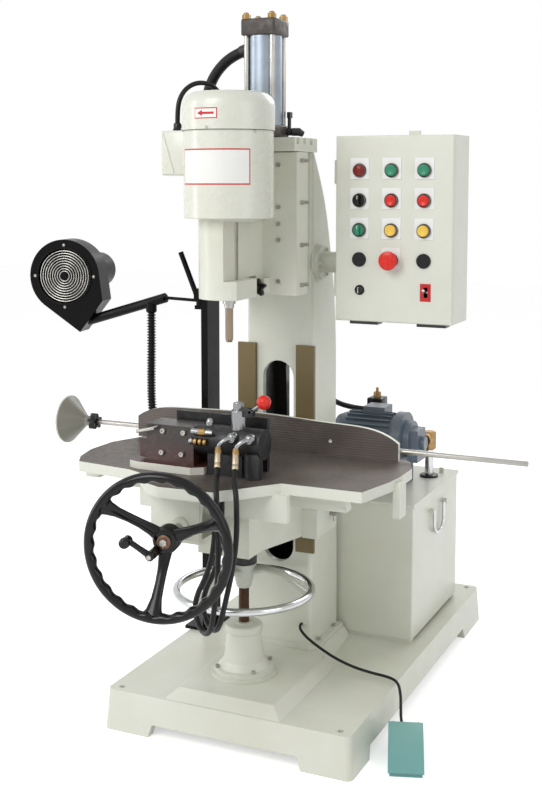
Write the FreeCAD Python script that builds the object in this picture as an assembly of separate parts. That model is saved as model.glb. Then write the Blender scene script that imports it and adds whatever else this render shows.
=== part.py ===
import FreeCAD, Part
import math, os

# Floor-standing hydraulic mortiser.  Millimetres; X to the right, Y to the back, Z up.
# The origin is on the floor, under the middle of the base.

V = FreeCAD.Vector
AX, AY, AZ = V(1, 0, 0), V(0, 1, 0), V(0, 0, 1)

# ---------------------------------------------------------------- driving dimensions
# base casting
base_w = 728.0
base_l = 1250.0
base_h = 113.0
base_draft = 8.0
base_wall = 20.0
base_plate = 16.0
base_corner_r = 18.0
foot_gap_h = 35.0
foot_front_l = 133.0
foot_back_l = 201.0
foot_side_w = 139.0
foot_lean = 12.0
anchor_x = 322.0
anchor_y = 592.0
anchor_hole_r = 8.0
anchor_boss_r = 24.0
deck_h = 27.0
deck_front_w = 280.0
deck_column_w = 262.0
deck_slope = 32.0

# column
mid_x = -36.0
col_w = 204.0
col_shift = 6.0
col_corner_r = 12.0
col_front = -193.0
col_top = 1580.0
col_wall = 20.0
col_foot_h = 14.0
col_foot_lip = 20.0
way_span = 240.0
way_w = 56.0
way_t = 12.0
way_bottom = 430.0
way_top = 1034.0
window_w = 96.0
window_shift = 4.0
window_bottom = 390.0
window_top = 985.0
shelf_t = 38.0
shelf_front = -345.0
notch_w = 18.0
gland_x = 46.0
gland_z = 214.0

# head guide (dovetail tongue) and head slide
guide_t = 60.0
guide_w = 196.0
guide_bottom = 1200.0
tongue_t = 28.0
tongue_root_w = 108.0
tongue_tip_w = 136.0
slide_gap = 0.4
slide_front = -330.0
slide_bottom = 1188.0
slide_drop = 2.0

# spindle and its motor
spin_y = -500.0
spin_r = 24.0
run_fit = 0.06
housing_r = 80.0
housing_bottom = 1193.0
housing_top = 1404.0
web_left = -102.0
web_right = -18.0
window_floor = 1242.0
knob_x = -8.0
knob_y = -372.0
knob_z = 1212.0
knob_stem_r = 5.0
knob_recess = 32.0
nose_nut_r = 17.0
collet_r = 13.0
collet_bottom = 1167.0
bit_r = 10.5
bit_bottom = 1076.0
motor_r = 118.0
motor_cover_r = 121.0
motor_seam = 1630.0
motor_top = 1730.0
motor_dome_r = 38.0
motor_wall = 8.0
stator_r = 66.0
air_gap = 0.5
stator_low = 1480.0
stator_high = 1600.0
terminal_l = -262.0
terminal_low = 1514.0
terminal_h = 118.0
terminal_d = 100.0

# hydraulic cylinder above the head
ram_x = -24.0
ram_y = -300.0
ram_r = 13.0
piston_z = 1870.0
barrel_r = 47.0
barrel_wall = 7.0
cap_w = 100.0
cap_low_h = 34.0
cap_top_z = 1892.0
cap_top_h = 45.0
tie_r = 6.5
tie_pitch = 76.0
tie_nut_r = 11.0

# elevating screw, its wheel and its pedestal
screw_y = -415.0
screw_r = 15.0
journal_r = 13.0
flange_r = 92.0
flange_t = 10.0
pedestal_top = 281.0
pedestal_foot_r = 57.0
pedestal_neck_r = 46.0
pedestal_head_r = 52.0
nut_r = 24.0
ewheel_z = 377.0
ewheel_r = 187.0
ewheel_rim_r = 10.5
ewheel_hub_low = 383.0
ewheel_spoke_w = 34.0
seat_gap = 0.4

# knee
knee_low = 506.0
knee_high = 645.0
knee_front = -540.0
knee_nose_w = 152.0
knee_wall = 16.0
knee_boss_low = 478.0
knee_boss_r = 38.0
way_gap = 0.5
cheek_t = 45.5
cheek_back = -140.0
cheek_h = 83.0
cheek_front = -290.0
lock_r = 6.0
lock_y = -190.0
lock_z = 552.0
tray_l = -190.0
tray_r = -46.0
tray_out = 57.0
tray_top = 684.0
gib_slot_w = 6.0
gib_t = 4.5

# table
table_z = 735.0
table_t = 28.0
table_back = -212.0
dove_y = -390.0
dove_root_w = 116.0
dove_tip_w = 144.0
dove_h = 30.0
rail_w = 200.0
rail_l = 660.0
rail_gap = 4.0
rack_y = -598.0
rack_t = 20.0
rack_l = 430.0

# feed handwheel: its shaft is turned in plan from the Y axis
feed_turn = 12.5
feed_x = -60.0
feed_y = -845.0
feed_z = 610.0
feed_r = 176.0
feed_rim_r = 14.0
feed_dish = 60.0
feed_hub_r = 34.0
feed_shaft_r = 12.0
feed_spoke_w = 34.0
pinion_r = 24.0
pinion_l = 64.0
handle_x = -22.0
handle_z = -24.0
handle_lift = 37.0
handle_turn = 146.0
handle_l = 68.0
tray_t = 15.0

# fence, stop rod and stop cone
fence_y = -248.0
fence_t = 15.0
fence_l = -470.0
fence_r = 352.0
fence_end_h = 62.0
fence_mid_h = 102.0
rod_y = -222.0
rod_z = 760.0
rod_r = 7.5
rod_end = 702.0
cone_x = -738.0
cone_r = 74.0
cone_l = 66.0
cone_wall = 4.0

# work clamp
clamp_y = -556.0
clamp_z = 822.0
clamp_r = 40.0
slab_t = 20.0
clamp_top = 858.0
block_front = -592.0
block_r = -96.0
jaw_front = -494.0
jaw_t = 14.0
jaw_l = -200.0
jaw_r = 72.0
jaw_top = 879.0
clamp_body_r = 60.0
clamp_ram_r = 12.0
clamp_ram_x = (-60.0, 24.0)
hand_valve_x = 18.0
lever_x = 55.0
lever_z = 906.0
lever_pin_r = 3.6
lever_eye_r = 6.0
banjo_x = (22.0, 72.0)
banjo_z = 843.0
ferrule_way = V(17, -40, -42)

# control box on its arm
box_l = 156.0
box_r = 489.0
box_front = -225.0
box_back = -75.0
box_low = 1115.0
box_high = 1623.0
box_sheet = 3.0
door_t = 18.0
door_gap = 1.0
arm_y = -140.0
arm_z = 1270.0
arm_r = 30.0
arm_flange_r = 50.0
land_t = 4.0
hinge_out = 5.5
hinge_y = -207.5
hinge_r = 5.0
hinge_pin_r = 2.5
hinge_h = 22.0
hinge_play = 0.4
hinge_in = 65.0
button_in = 70.0
button_down = 94.0
button_dx = 92.0
button_dz = 81.0
button_r = 15.5
button_out = 15.0
ring_r = 19.5
ring_h = 9.0
bore_r = 17.5
plate_t = 1.2
plate_w = 54.0
plate_h = 58.0
stop_stem_r = 8.0
stop_head_r = 26.0
key_in = 72.0
key_up = 87.0
toggle_in = 73.0
toggle_up = 86.0
key_r = 9.0
key_wall = 3.0
toggle_pin_r = 2.0

# oil tank and power pack
tank_l = -40.0
tank_r = 308.0
tank_front = 28.0
tank_back = 504.0
tank_high = 541.0
tank_foot = 12.0
tank_sheet = 4.0
lid_t = 10.0
pump_y = 250.0
pump_z = 690.0
pump_motor_r = 70.0
pump_fin_r = 79.0
pump_left = 10.0
pump_wall = 10.0
pump_right = 186.0
valve_x = 66.0
valve_w = 52.0
bail_y = 270.0
bail_z = 480.0
bail_w = 100.0
bail_drop = 80.0
bail_r = 5.0
bail_pin_r = 3.5

# blower on its post
post_x = -328.0
post_w = 22.0
post_y = -110.0
post_d = 80.0
post_top = 1460.0
pivot_x = -350.0
pivot_y = -70.0
pivot_r = 7.0
blow_turn = 12.0
ear_low = 1108.0
ear_high = 1172.0
blow_x = -831.0
blow_y = -98.0
blow_z = 1195.5
blow_r = 118.0
blow_d = 80.0
blow_eye_r = 88.0
blow_motor_r = 60.0
blow_motor_l = 240.0
mouth_low = V(50.6, -179.8, 0)
mouth_high = V(128.9, -77.5, 0)
impeller_r = 76.0
duct_r = 15.5
duct_side = 68.0
duct_drop = 146.0
duct_back = 40.0
duct_end_x = -473.0
duct_end_y = -72.0
duct_end_z = 1138.0
neck_share = 0.82
link_z = 1134.0
blow_lever_r = 8.0

# foot switch
pedal_turn = 18.6
pedal_x = 452.0
pedal_y = -460.0
pedal_w = 92.0
pedal_wall = 6.0
pedal_pin_r = 4.0
pedal_pin_y = 72.0
pedal_pin_z = 42.0

# cords and hoses: radii
ram_hose_r = 15.0
ram_hose_z = 1862.4
port_dip = 20.0
ram_hose_end_x = -176.0
ram_hose_end_y = -160.0
ram_hose_end_z = 1324.0
hose_port = 26.0
motor_cable_r = 6.5
cable_top_x = -190.0
cable_gland_x = -112.0
cable_gland_y = -358.0
cable_gland_top = 1504.0
pressure_hose_r = 9.0
hose_x = 48.0
hose_z = 846.0
hose_boss_y = 12.0
clamp_hose_r = 7.0
blower_hose_r = 15.0
hose_neck_z = 1092.0
pedal_cable_r = 4.0
pedal_gland = 6.0

# ---------------------------------------------------------------- derived places
half_w = base_w / 2
half_l = base_l / 2
deck_z = base_h + deck_h
col_l = mid_x + col_shift - col_w / 2
col_r = mid_x + col_shift + col_w / 2
way_front = col_front - way_t
guide_front = col_front - guide_t
tongue_front = guide_front - tongue_t
slide_top = col_top - slide_drop
shelf_top = col_top + shelf_t
cap_low_z = shelf_top
barrel_low = cap_low_z + cap_low_h
dove_z = knee_high + dove_h
rail_low = knee_high + rail_gap
table_low = table_z - table_t
jaw_back = jaw_front + jaw_t
clamp_block_low = clamp_z - 32
lock_x = mid_x + way_span / 2 + way_gap + cheek_t
hinge_x = box_l - hinge_out
hinge_z = (box_low + hinge_in, box_high - hinge_in - 3 * hinge_h)
button_x0 = box_l + button_in
button_z0 = box_high - button_down
key_at = (box_l + key_in, box_low + key_up)
toggle_at = (box_r - toggle_in, box_low + toggle_up)


# ---------------------------------------------------------------- helpers
def box(x0, x1, y0, y1, z0, z1):
    return Part.makeBox(x1 - x0, y1 - y0, z1 - z0, V(x0, y0, z0))


def rod(p, q, r):
    d = q.sub(p)
    return Part.makeCylinder(r, d.Length, p, d)


def along_x(x0, x1, y, z, r):
    return rod(V(x0, y, z), V(x1, y, z), r)


def along_y(x, y0, y1, z, r):
    return rod(V(x, y0, z), V(x, y1, z), r)


def along_z(x, y, z0, z1, r):
    return rod(V(x, y, z0), V(x, y, z1), r)


def taper(p, q, r1, r2):
    d = q.sub(p)
    return Part.makeCone(r1, r2, d.Length, p, d)


def fuse(items):
    return items[0].multiFuse(items[1:]).removeSplitter()


def face_of(points):
    return Part.Face(Part.makePolygon(points + [points[0]]))


def prism_z(points, z0, z1):
    return face_of([V(x, y, z0) for x, y in points]).extrude(V(0, 0, z1 - z0))


def prism_x(points, x0, x1):
    return face_of([V(x0, y, z) for y, z in points]).extrude(V(x1 - x0, 0, 0))


def prism_y(points, y0, y1):
    return face_of([V(x, y0, z) for x, z in points]).extrude(V(0, y1 - y0, 0))


def loft(low, z0, high, z1):
    wires = []
    for points, z in ((low, z0), (high, z1)):
        ring = [V(x, y, z) for x, y in points]
        wires.append(Part.makePolygon(ring + [ring[0]]))
    return Part.makeLoft(wires, True, True)


def rectangle(half_x, half_y):
    return [(-half_x, -half_y), (half_x, -half_y), (half_x, half_y), (-half_x, half_y)]


def is_upright(edge):
    box_ = edge.BoundBox
    return box_.ZLength > 5 and box_.ZLength > 9 * max(box_.XLength, box_.YLength)


def round_edges(shape, r, wanted):
    return shape.makeFillet(r, [e for e in shape.Edges if wanted(e)])


def turned(shape, at, right, up, out):
    # puts a shape that is drawn with its face along +Z where right, up and out point
    m = FreeCAD.Matrix(right.x, up.x, out.x, at.x,
                       right.y, up.y, out.y, at.y,
                       right.z, up.z, out.z, at.z,
                       0, 0, 0, 1)
    moved = shape.copy()
    moved.Placement = FreeCAD.Placement(m)
    return moved


def star_knob(r, lobes, lobe_r, length):
    # along +Z from 0
    body = along_z(0, 0, 0, length, r)
    for i in range(lobes):
        a = math.radians(90 + 360 * i / lobes)
        body = body.fuse(along_z(r * 1.1 * math.cos(a), r * 1.1 * math.sin(a), 0, length, lobe_r))
    return body.removeSplitter()


def spoke(profile, width, angle):
    # profile: radius, height; the bar is width across
    bar = face_of([V(r, -width / 2, z) for r, z in profile]).extrude(V(0, width, 0))
    bar.rotate(V(0, 0, 0), AZ, angle)
    return bar


def cord_tube(name, points, r):
    # straight runs joined by tangent arcs, each as large as its two runs allow
    edges = []
    radii = []
    start = points[0]
    for before, corner, after in zip(points, points[1:], points[2:]):
        u = corner.sub(before)
        w = after.sub(corner)
        cut = 0.45 * min(u.Length, w.Length)
        u.normalize()
        w.normalize()
        half_turn = u.getAngle(w) / 2
        radius = cut / math.tan(half_turn)
        first = corner.sub(u * cut)
        last = corner.add(w * cut)
        inward = w.sub(u)
        inward.normalize()
        middle = corner.add(inward * (radius / math.cos(half_turn) - radius))
        edges.append(Part.LineSegment(start, first).toShape())
        edges.append(Part.Arc(first, middle, last).toShape())
        radii.append(round(radius))
        start = last
    edges.append(Part.LineSegment(start, points[-1]).toShape())
    path = Part.Wire(edges)
    ring = Part.Wire([Part.makeCircle(r, points[0], points[1].sub(points[0]))])
    tube = path.makePipeShell([ring], True, True)
    share = tube.Volume / (math.pi * r * r * path.Length)
    print(name, "length", round(path.Length), "volume share", round(share, 4), "radii", radii)
    return tube


# ---------------------------------------------------------------- base and column
def base_casting():
    top_x = half_w - base_draft
    top_y = half_l - base_draft
    body = loft(rectangle(half_w, half_l), 0, rectangle(top_x, top_y), base_h)
    body = round_edges(body, base_corner_r, is_upright)
    inner_x = half_w - base_draft - base_wall
    inner_y = half_l - base_draft - base_wall
    under = base_h - base_plate
    body = body.cut(box(-inner_x, inner_x, -inner_y, inner_y, -1, under))
    for sx in (-1, 1):
        for sy in (-1, 1):
            x = sx * anchor_x
            y = sy * anchor_y
            web = box(min(x, sx * inner_x), max(x, sx * inner_x), min(y, sy * inner_y), max(y, sy * inner_y),
                      0, under)
            body = body.fuse([along_z(x, y, 0, under, anchor_boss_r), web])
    lean = foot_lean
    side = half_w - foot_side_w
    front = prism_y([(-side, -1), (-side + lean, foot_gap_h), (side - lean, foot_gap_h), (side, -1)],
                    -half_l - 1, half_l + 1)
    y0 = -half_l + foot_front_l
    y1 = half_l - foot_back_l
    sides = prism_x([(y0, -1), (y0 + lean, foot_gap_h), (y1 - lean, foot_gap_h), (y1, -1)],
                    -half_w - 1, half_w + 1)
    body = body.cut([front, sides])
    f = deck_front_w / 2
    c = deck_column_w / 2
    s = deck_slope
    y_front = -top_y + s + 4
    y_wide = screw_y + flange_r + 90
    y_back = 18.0
    m = mid_x
    n = -10.0
    high = [(n - f, y_front), (n + f, y_front), (n + f, y_wide), (m + c, y_wide + 76), (m + c, y_back),
            (m - c, y_back), (m - c, y_wide), (n - f, y_wide)]
    low = [(n - f - s, y_front - s), (n + f + s, y_front - s), (n + f + s, y_wide + 16),
           (m + c + s, y_wide + 86), (m + c + s / 2, y_back + 6), (m - c - s / 2, y_back + 6),
           (m - c - s, y_wide + 6), (n - f - s, y_wide + 6)]
    body = body.fuse(loft(low, base_h - 0.5, high, deck_z)).removeSplitter()
    holes = [along_z(sx * anchor_x, sy * anchor_y, -1, deck_z, anchor_hole_r)
             for sx in (-1, 1) for sy in (-1, 1)]
    holes.append(along_z(mid_x, screw_y, under - 1, deck_z + 1, screw_r + 6))
    return body.cut(holes)


def column_window(y0, y1, low):
    x0 = mid_x + window_shift - window_w / 2
    x1 = mid_x + window_shift + window_w / 2
    r = window_w / 2
    slot = [box(x0, x1, y0, y1, low + r, window_top - r)]
    for z in (low + r, window_top - r):
        slot.append(along_y((x0 + x1) / 2, y0, y1, z, r))
    return fuse(slot)


def column_casting():
    back = [(12, deck_z), (8, 456), (-3, 816), (-18, 1150), (-52, 1300), (-101, 1446), (-168, col_top - 20),
            (-181, col_top)]
    curve = Part.BSplineCurve()
    curve.interpolate([V(col_l, y, z) for y, z in back])
    corners = [V(col_l, back[-1][0], col_top), V(col_l, col_front, col_top), V(col_l, col_front, deck_z),
               V(col_l, back[0][0], deck_z)]
    outline = [curve.toShape()] + [Part.makeLine(a, b) for a, b in zip(corners, corners[1:])]
    body = Part.Face(Part.Wire(outline)).extrude(V(col_w, 0, 0))
    body = round_edges(body, col_corner_r, lambda e: is_upright(e) and e.BoundBox.YMax < col_front + 1)
    t = col_wall
    hollow = [(col_front + t, deck_z + t), (12 - t, deck_z + t), (8 - t, 456), (-3 - t, 816), (-20 - t, 1150),
              (-60 - t, 1290), (-112 - t, 1410), (col_front + t, 1500)]
    body = body.cut(prism_x(hollow, col_l + t, col_r - t))
    body = body.cut([column_window(col_front - 1, col_front + t + 1, window_bottom),
                     column_window(-60, 20, window_bottom + 60)])
    p = col_foot_lip
    x0, x1 = col_l - p, col_r + p
    y0, y1 = way_front - 4, 16.0
    foot = prism_z([(x0 + p, y0), (x1 - p, y0), (x1, y0 + p), (x1, y1), (x0, y1), (x0, y0 + p)],
                   deck_z, deck_z + col_foot_h)
    guide = box(mid_x - guide_w / 2, mid_x + guide_w / 2, guide_front, col_front + 1, guide_bottom, col_top)
    root, tip = tongue_root_w / 2, tongue_tip_w / 2
    tongue = prism_z([(mid_x - root, guide_front), (mid_x + root, guide_front), (mid_x + tip, tongue_front),
                      (mid_x - tip, tongue_front)], guide_bottom, col_top)
    shelf = box(mid_x - way_span / 2, mid_x + way_span / 2, shelf_front, col_front + 6, col_top, shelf_top)
    land = along_x(col_r - 1, col_r + land_t, arm_y, arm_z, arm_flange_r + 6)
    gland = along_y(gland_x, col_front - pedal_gland, col_front + 1, gland_z, pedal_cable_r + 7)
    boss = along_y(hose_x, -20, hose_boss_y, hose_z, pressure_hose_r + 6)
    body = body.fuse([foot, guide, tongue, shelf, land, gland, boss]).removeSplitter()
    cuts = [along_z(ram_x, ram_y, col_top - 1, shelf_top + 1, ram_r + 5)]
    for y in (shelf_front + 23, -276, -230):
        for sx in (-1, 1):
            x = mid_x + sx * way_span / 2
            cuts.append(box(x - notch_w / 2, x + notch_w / 2, y - notch_w / 2, y + notch_w / 2,
                            shelf_top - notch_w, shelf_top + 1))
    return body.cut(cuts)


def way_strips():
    strips = []
    for s in (-1, 1):
        outer = mid_x + s * way_span / 2
        inner = outer - s * way_w
        strips.append(box(min(outer, inner), max(outer, inner), way_front, col_front, way_bottom, way_top))
    return Part.makeCompound(strips)


def screw_pedestal():
    step = deck_z + flange_t
    neck = pedestal_top - 20
    parts = [along_z(mid_x, screw_y, deck_z, step, flange_r),
             along_z(mid_x, screw_y, step, step + 12, flange_r - 8),
             taper(V(mid_x, screw_y, step + 12), V(mid_x, screw_y, step + 30),
                   flange_r - 20, pedestal_foot_r),
             taper(V(mid_x, screw_y, step + 30), V(mid_x, screw_y, neck), pedestal_foot_r, pedestal_neck_r)]
    head = along_z(mid_x, screw_y, neck - 4, pedestal_top, pedestal_head_r)
    parts.append(round_edges(head, 6, lambda e: e.BoundBox.XLength > pedestal_head_r))
    parts.append(along_z(mid_x, screw_y, pedestal_top - 1, pedestal_top + 4, nut_r))
    bore = along_z(mid_x, screw_y, deck_z - 1, pedestal_top - 40, screw_r + 6)
    thread = along_z(mid_x, screw_y, pedestal_top - 41, pedestal_top + 5, screw_r + run_fit)
    return fuse(parts).cut([bore, thread])


def frame_bolts():
    bolts = []
    r = 5.5
    seat = deck_z + flange_t + 12
    for i in range(4):
        a = math.radians(45 + 90 * i)
        reach = flange_r - 14
        bolts.append(along_z(mid_x + reach * math.cos(a), screw_y + reach * math.sin(a), seat, seat + 8, r))
    for x in (col_l - col_foot_lip / 2, col_r + col_foot_lip / 2):
        for y in (-150, -30):
            bolts.append(along_z(x, y, deck_z + col_foot_h, deck_z + col_foot_h + 8, r))
    return Part.makeCompound(bolts)


# ---------------------------------------------------------------- hydraulic cylinder
def cylinder_barrel():
    body = along_z(ram_x, ram_y, barrel_low, cap_top_z, barrel_r)
    chamber = along_z(ram_x, ram_y, barrel_low + 12, cap_top_z - 12, barrel_r - barrel_wall)
    seal = along_z(ram_x, ram_y, barrel_low - 1, barrel_low + 13, ram_r + run_fit)
    return body.cut([chamber, seal])


def cylinder_cap(z0, h):
    c = cap_w / 2
    return round_edges(box(ram_x - c, ram_x + c, ram_y - c, ram_y + c, z0, z0 + h), 6, is_upright)


def cylinder_caps():
    low = cylinder_cap(cap_low_z, cap_low_h)
    parts = [low, cylinder_cap(cap_top_z, cap_top_h)]
    head = cap_top_z + cap_top_h
    for sx in (-1, 1):
        for sy in (-1, 1):
            x = ram_x + sx * tie_pitch / 2
            y = ram_y + sy * tie_pitch / 2
            parts.append(along_z(x, y, cap_low_z + 10, head + 18, tie_r))
            parts.append(along_z(x, y, head, head + 12, tie_nut_r))
    return fuse(parts).cut(along_z(ram_x, ram_y, cap_low_z - 1, barrel_low + 1, ram_r + run_fit))


def port_way():
    a = math.radians(port_dip)
    return V(-math.cos(a), 0, -math.sin(a))


def hose_start():
    return V(ram_x - barrel_r, ram_y, ram_hose_z).add(port_way() * hose_port)


def cylinder_fittings():
    x = ram_x + cap_w / 2
    y = ram_y + 38
    z = cap_low_z + cap_low_h / 2
    # an elbow on the low cap, with a vent standing on it
    elbow = fuse([along_x(x, x + 16, y, z, 10), rod(V(x + 14, y, z), V(x + 34, y + 10, z), 11),
                  taper(V(x + 30, y + 8, z), V(x + 40, y + 17, z - 6), 11, 8),
                  along_z(x + 6, y, z + 8, z + 38, 5), box(x + 2, x + 12, y - 8, y + 8, z + 38, z + 54)])
    tube = along_z(ram_x, ram_y, barrel_low, cap_top_z, barrel_r)
    root = hose_start().sub(port_way() * (hose_port + 6))
    port = rod(root, hose_start(), ram_hose_r + 2).cut(tube)
    x, y, z = ram_hose_end_x, ram_hose_end_y, ram_hose_end_z
    low = fuse([along_z(x, y, z - 34, z, ram_hose_r + 3),
                along_x(x, col_l, y, z - 22, ram_hose_r - 2)])
    return Part.makeCompound([elbow, port, low])


def cylinder_hose():
    start = hose_start()
    end = V(ram_hose_end_x, ram_hose_end_y, ram_hose_end_z)
    route = [start, start.add(port_way() * 30), V(-157, -299, 1820), V(-185, -296, 1789), V(-206, -289, 1751),
             V(-220, -278, 1705), V(-225, -262, 1653), V(-220, -242, 1599), V(-206, -219, 1545),
             V(-190, -195, 1492), V(-180, -173, 1444), V(-176.5, -163, 1402), end.add(AZ * 38), end]
    return cord_tube("cylinder_hose", route, ram_hose_r)


# ---------------------------------------------------------------- oil tank and power pack
def tank_body():
    under = base_h + tank_foot
    rim = tank_high - lid_t
    t = tank_sheet
    body = round_edges(box(tank_l, tank_r, tank_front, tank_back, under, rim), 4, is_upright)
    body = body.cut(box(tank_l + t, tank_r - t, tank_front + t, tank_back - t, under + t, rim - t))
    parts = [body, box(tank_l - t, tank_r + t, tank_front - t, tank_back + t, rim, tank_high)]
    for y in (tank_front + 4, tank_back - 38):
        parts.append(box(tank_l + 6, tank_r - 6, y, y + 34, base_h, under))
    parts.append(box(tank_r - 46, tank_r - 32, tank_back - 52, tank_back - 48, tank_high, tank_high + 16))
    reach = bail_w / 2 + 20
    for s in (-1, 1):
        parts.append(along_x(tank_r - 1, tank_r + 15, bail_y + s * reach, bail_z, 8))
    pin = along_y(tank_r + 9, bail_y - reach - 9, bail_y + reach + 9, bail_z, bail_pin_r + run_fit)
    return fuse(parts).cut(pin)


def tank_handle():
    x = tank_r + 9
    half = bail_w / 2
    reach = half + 20
    parts = []
    for s in (-1, 1):
        parts.append(rod(V(x, bail_y + s * (reach + 8), bail_z), V(x, bail_y + s * half, bail_z), bail_pin_r))
    route = [V(x, bail_y - half, bail_z), V(x, bail_y - half, bail_z - bail_drop),
             V(x, bail_y + half, bail_z - bail_drop), V(x, bail_y + half, bail_z)]
    parts.append(cord_tube("tank_handle bar", route, bail_r))
    return fuse(parts)


def pump_motor():
    y, z = pump_y, pump_z
    parts = [along_x(pump_left, pump_right, y, z, pump_motor_r),
             taper(V(pump_left, y, z), V(pump_left - 24, y, z), pump_motor_r, pump_motor_r - 10),
             box(pump_left + 30, pump_right - 26, y - 62, y + 62, tank_high, z - 50),
             box(pump_left + 64, pump_right - 40, y - 20, y + 56, z + 62, z + 96)]
    fins = 24
    for i in range(fins):
        fin = box(pump_left + 14, pump_right - 14, -2, 2, pump_motor_r - 4, pump_fin_r)
        fin.rotate(V(0, 0, 0), AX, 360.0 * (i + 0.5) / fins)
        fin.translate(V(0, y, z))
        parts.append(fin)
    x = pump_right
    parts += [along_x(x, x + 28, y, z, pump_motor_r + 14), along_x(x + 28, x + 50, y, z, 58),
              box(x + 42, x + 76, y - 40, y + 40, z - 66, z + 34), along_x(x + 76, x + 90, y, z - 10, 22),
              box(x, x + 28, y - 70, y + 70, tank_high, z - 40)]
    hollow = along_x(pump_left + pump_wall, pump_right - pump_wall, y, z, pump_motor_r - pump_wall)
    return fuse(parts).cut(hollow)


def tank_fittings():
    x, y, w = valve_x, 386.0, valve_w / 2
    stack = fuse([box(x - w - 4, x + w + 4, y - 34, y + 34, tank_high, 700),
                  box(x - w, x + w, y - 30, y + 30, 700, 790),
                  along_z(x, y, 790, 806, 12), along_z(x, y, 806, 822, 5),
                  box(x + w, x + w + 36, y - 20, y + 20, 640, 690)])
    x, y = 246.0, 388.0
    pipe = fuse([along_z(x, y, tank_high, tank_high + 8, 30), along_z(x, y, tank_high + 8, 640, 14),
                 along_z(x, y, 636, 690, 22), along_y(x, y - 46, y, 668, 19)])
    return Part.makeCompound([stack, pipe])


def pressure_hose():
    x = valve_x - valve_w / 2
    route = [V(x, 386, 746), V(x - 26, 386, 746), V(x - 58, 378, 750), V(x - 88, 352, 762),
             V(x - 102, 310, 782), V(x - 106, 258, 806), V(x - 100, 204, 830),
             V(x - 84, 158, 846), V(x - 58, 118, 854),
             V(x - 30, 88, 854), V(hose_x - 19, 66, 851), V(hose_x - 5, 46, 848), V(hose_x, 28, hose_z),
             V(hose_x, hose_boss_y, hose_z)]
    return cord_tube("pressure_hose", route, pressure_hose_r)


# ---------------------------------------------------------------- control box
def control_arm():
    x = col_r + land_t
    parts = [along_x(x, x + 12, arm_y, arm_z, arm_flange_r), along_x(x + 12, box_l, arm_y, arm_z, arm_r)]
    for a in (60, 180, 300):
        y = arm_y + 40 * math.cos(math.radians(a))
        z = arm_z + 40 * math.sin(math.radians(a))
        parts.append(along_x(x + 12, x + 19, y, z, 6.5))
    return fuse(parts)


def box_shell():
    s = box_sheet
    y0 = box_front + door_t
    body = box(box_l, box_r, y0, box_back, box_low, box_high)
    body = body.cut(box(box_l + s, box_r - s, y0 - 1, box_back - s, box_low + s, box_high - s))
    hanger = box(box_l + 170, box_l + 204, box_back - 30, box_back - 26, box_high, box_high + 16)
    parts = [body, hanger]
    for x in (box_l + 36, box_r - 103):
        parts.append(box(x, x + 82, y0 + 2, y0 + 42, box_low - 10, box_low))
    for z in hinge_z:
        for low in (z, z + 2 * hinge_h):
            parts.append(along_z(hinge_x, hinge_y, low, low + hinge_h, hinge_r))
            parts.append(box(hinge_x, box_l + 1, y0, y0 + 12, low, low + hinge_h))
        parts.append(along_z(hinge_x, hinge_y, z, z + 3 * hinge_h, hinge_pin_r))
    return fuse(parts)


def column_x(i):
    return button_x0 + i * button_dx


def row_z(i):
    return button_z0 - i * button_dz


def box_door():
    y1 = box_front + door_t - door_gap
    body = box(box_l, box_r, box_front, y1, box_low, box_high)
    body = round_edges(body, 4, lambda e: e.BoundBox.YMax < box_front + 0.1)
    body = body.cut(box(box_l + 14, box_r - 14, box_front + box_sheet, y1 + 1, box_low + 14, box_high - 14))
    plates = []
    bores = []
    for r in range(4):
        for c in range(3):
            x, z = column_x(c), row_z(r)
            if (r, c) not in plain_plugs:
                plates.append(box(x - plate_w / 2, x + plate_w / 2, box_front - plate_t, box_front + 1,
                                  z - plate_h / 2 + 5, z + plate_h / 2 + 5))
            bores.append(along_y(x, box_front - 4, box_front + 8, z, bore_r))
    bores.append(along_y(key_at[0], box_front - 4, box_front + 8, key_at[1], key_r + key_wall))
    tx, tz = toggle_at
    bores.append(box(tx - 6, tx + 6, box_front - 4, box_front + 8, tz - 14, tz + 14))
    knuckles = []
    for z in hinge_z:
        low = z + hinge_h + hinge_play
        high = z + 2 * hinge_h - hinge_play
        knuckles.append(along_z(hinge_x, hinge_y, low, high, hinge_r))
        knuckles.append(box(hinge_x, box_l + 1, box_front + 6, y1, low, high))
        bores.append(along_z(hinge_x, hinge_y, z, z + 3 * hinge_h, hinge_pin_r + run_fit))
    return body.fuse(plates + knuckles).removeSplitter().cut(bores)


def bezel(x, z, inner_r, outer_r):
    y = box_front - plate_t
    sleeve = along_y(x, y - ring_h, y, z, outer_r).fuse(along_y(x, y - 1, box_front + 15, z, bore_r))
    return sleeve.removeSplitter().cut(along_y(x, y - ring_h - 1, box_front + 16, z, inner_r))


plain_plugs = [(3, 0), (3, 2)]
plain_buttons = [("button_green_left", 1, 0), ("button_green_right", 2, 0), ("button_red_left", 1, 1),
                 ("button_red_right", 2, 1), ("button_yellow_left", 1, 2), ("button_yellow_right", 2, 2)]
selectors = [("selector_black", 0, 1), ("selector_green", 0, 2)]
stop_x, stop_z = column_x(1), row_z(3)


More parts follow.
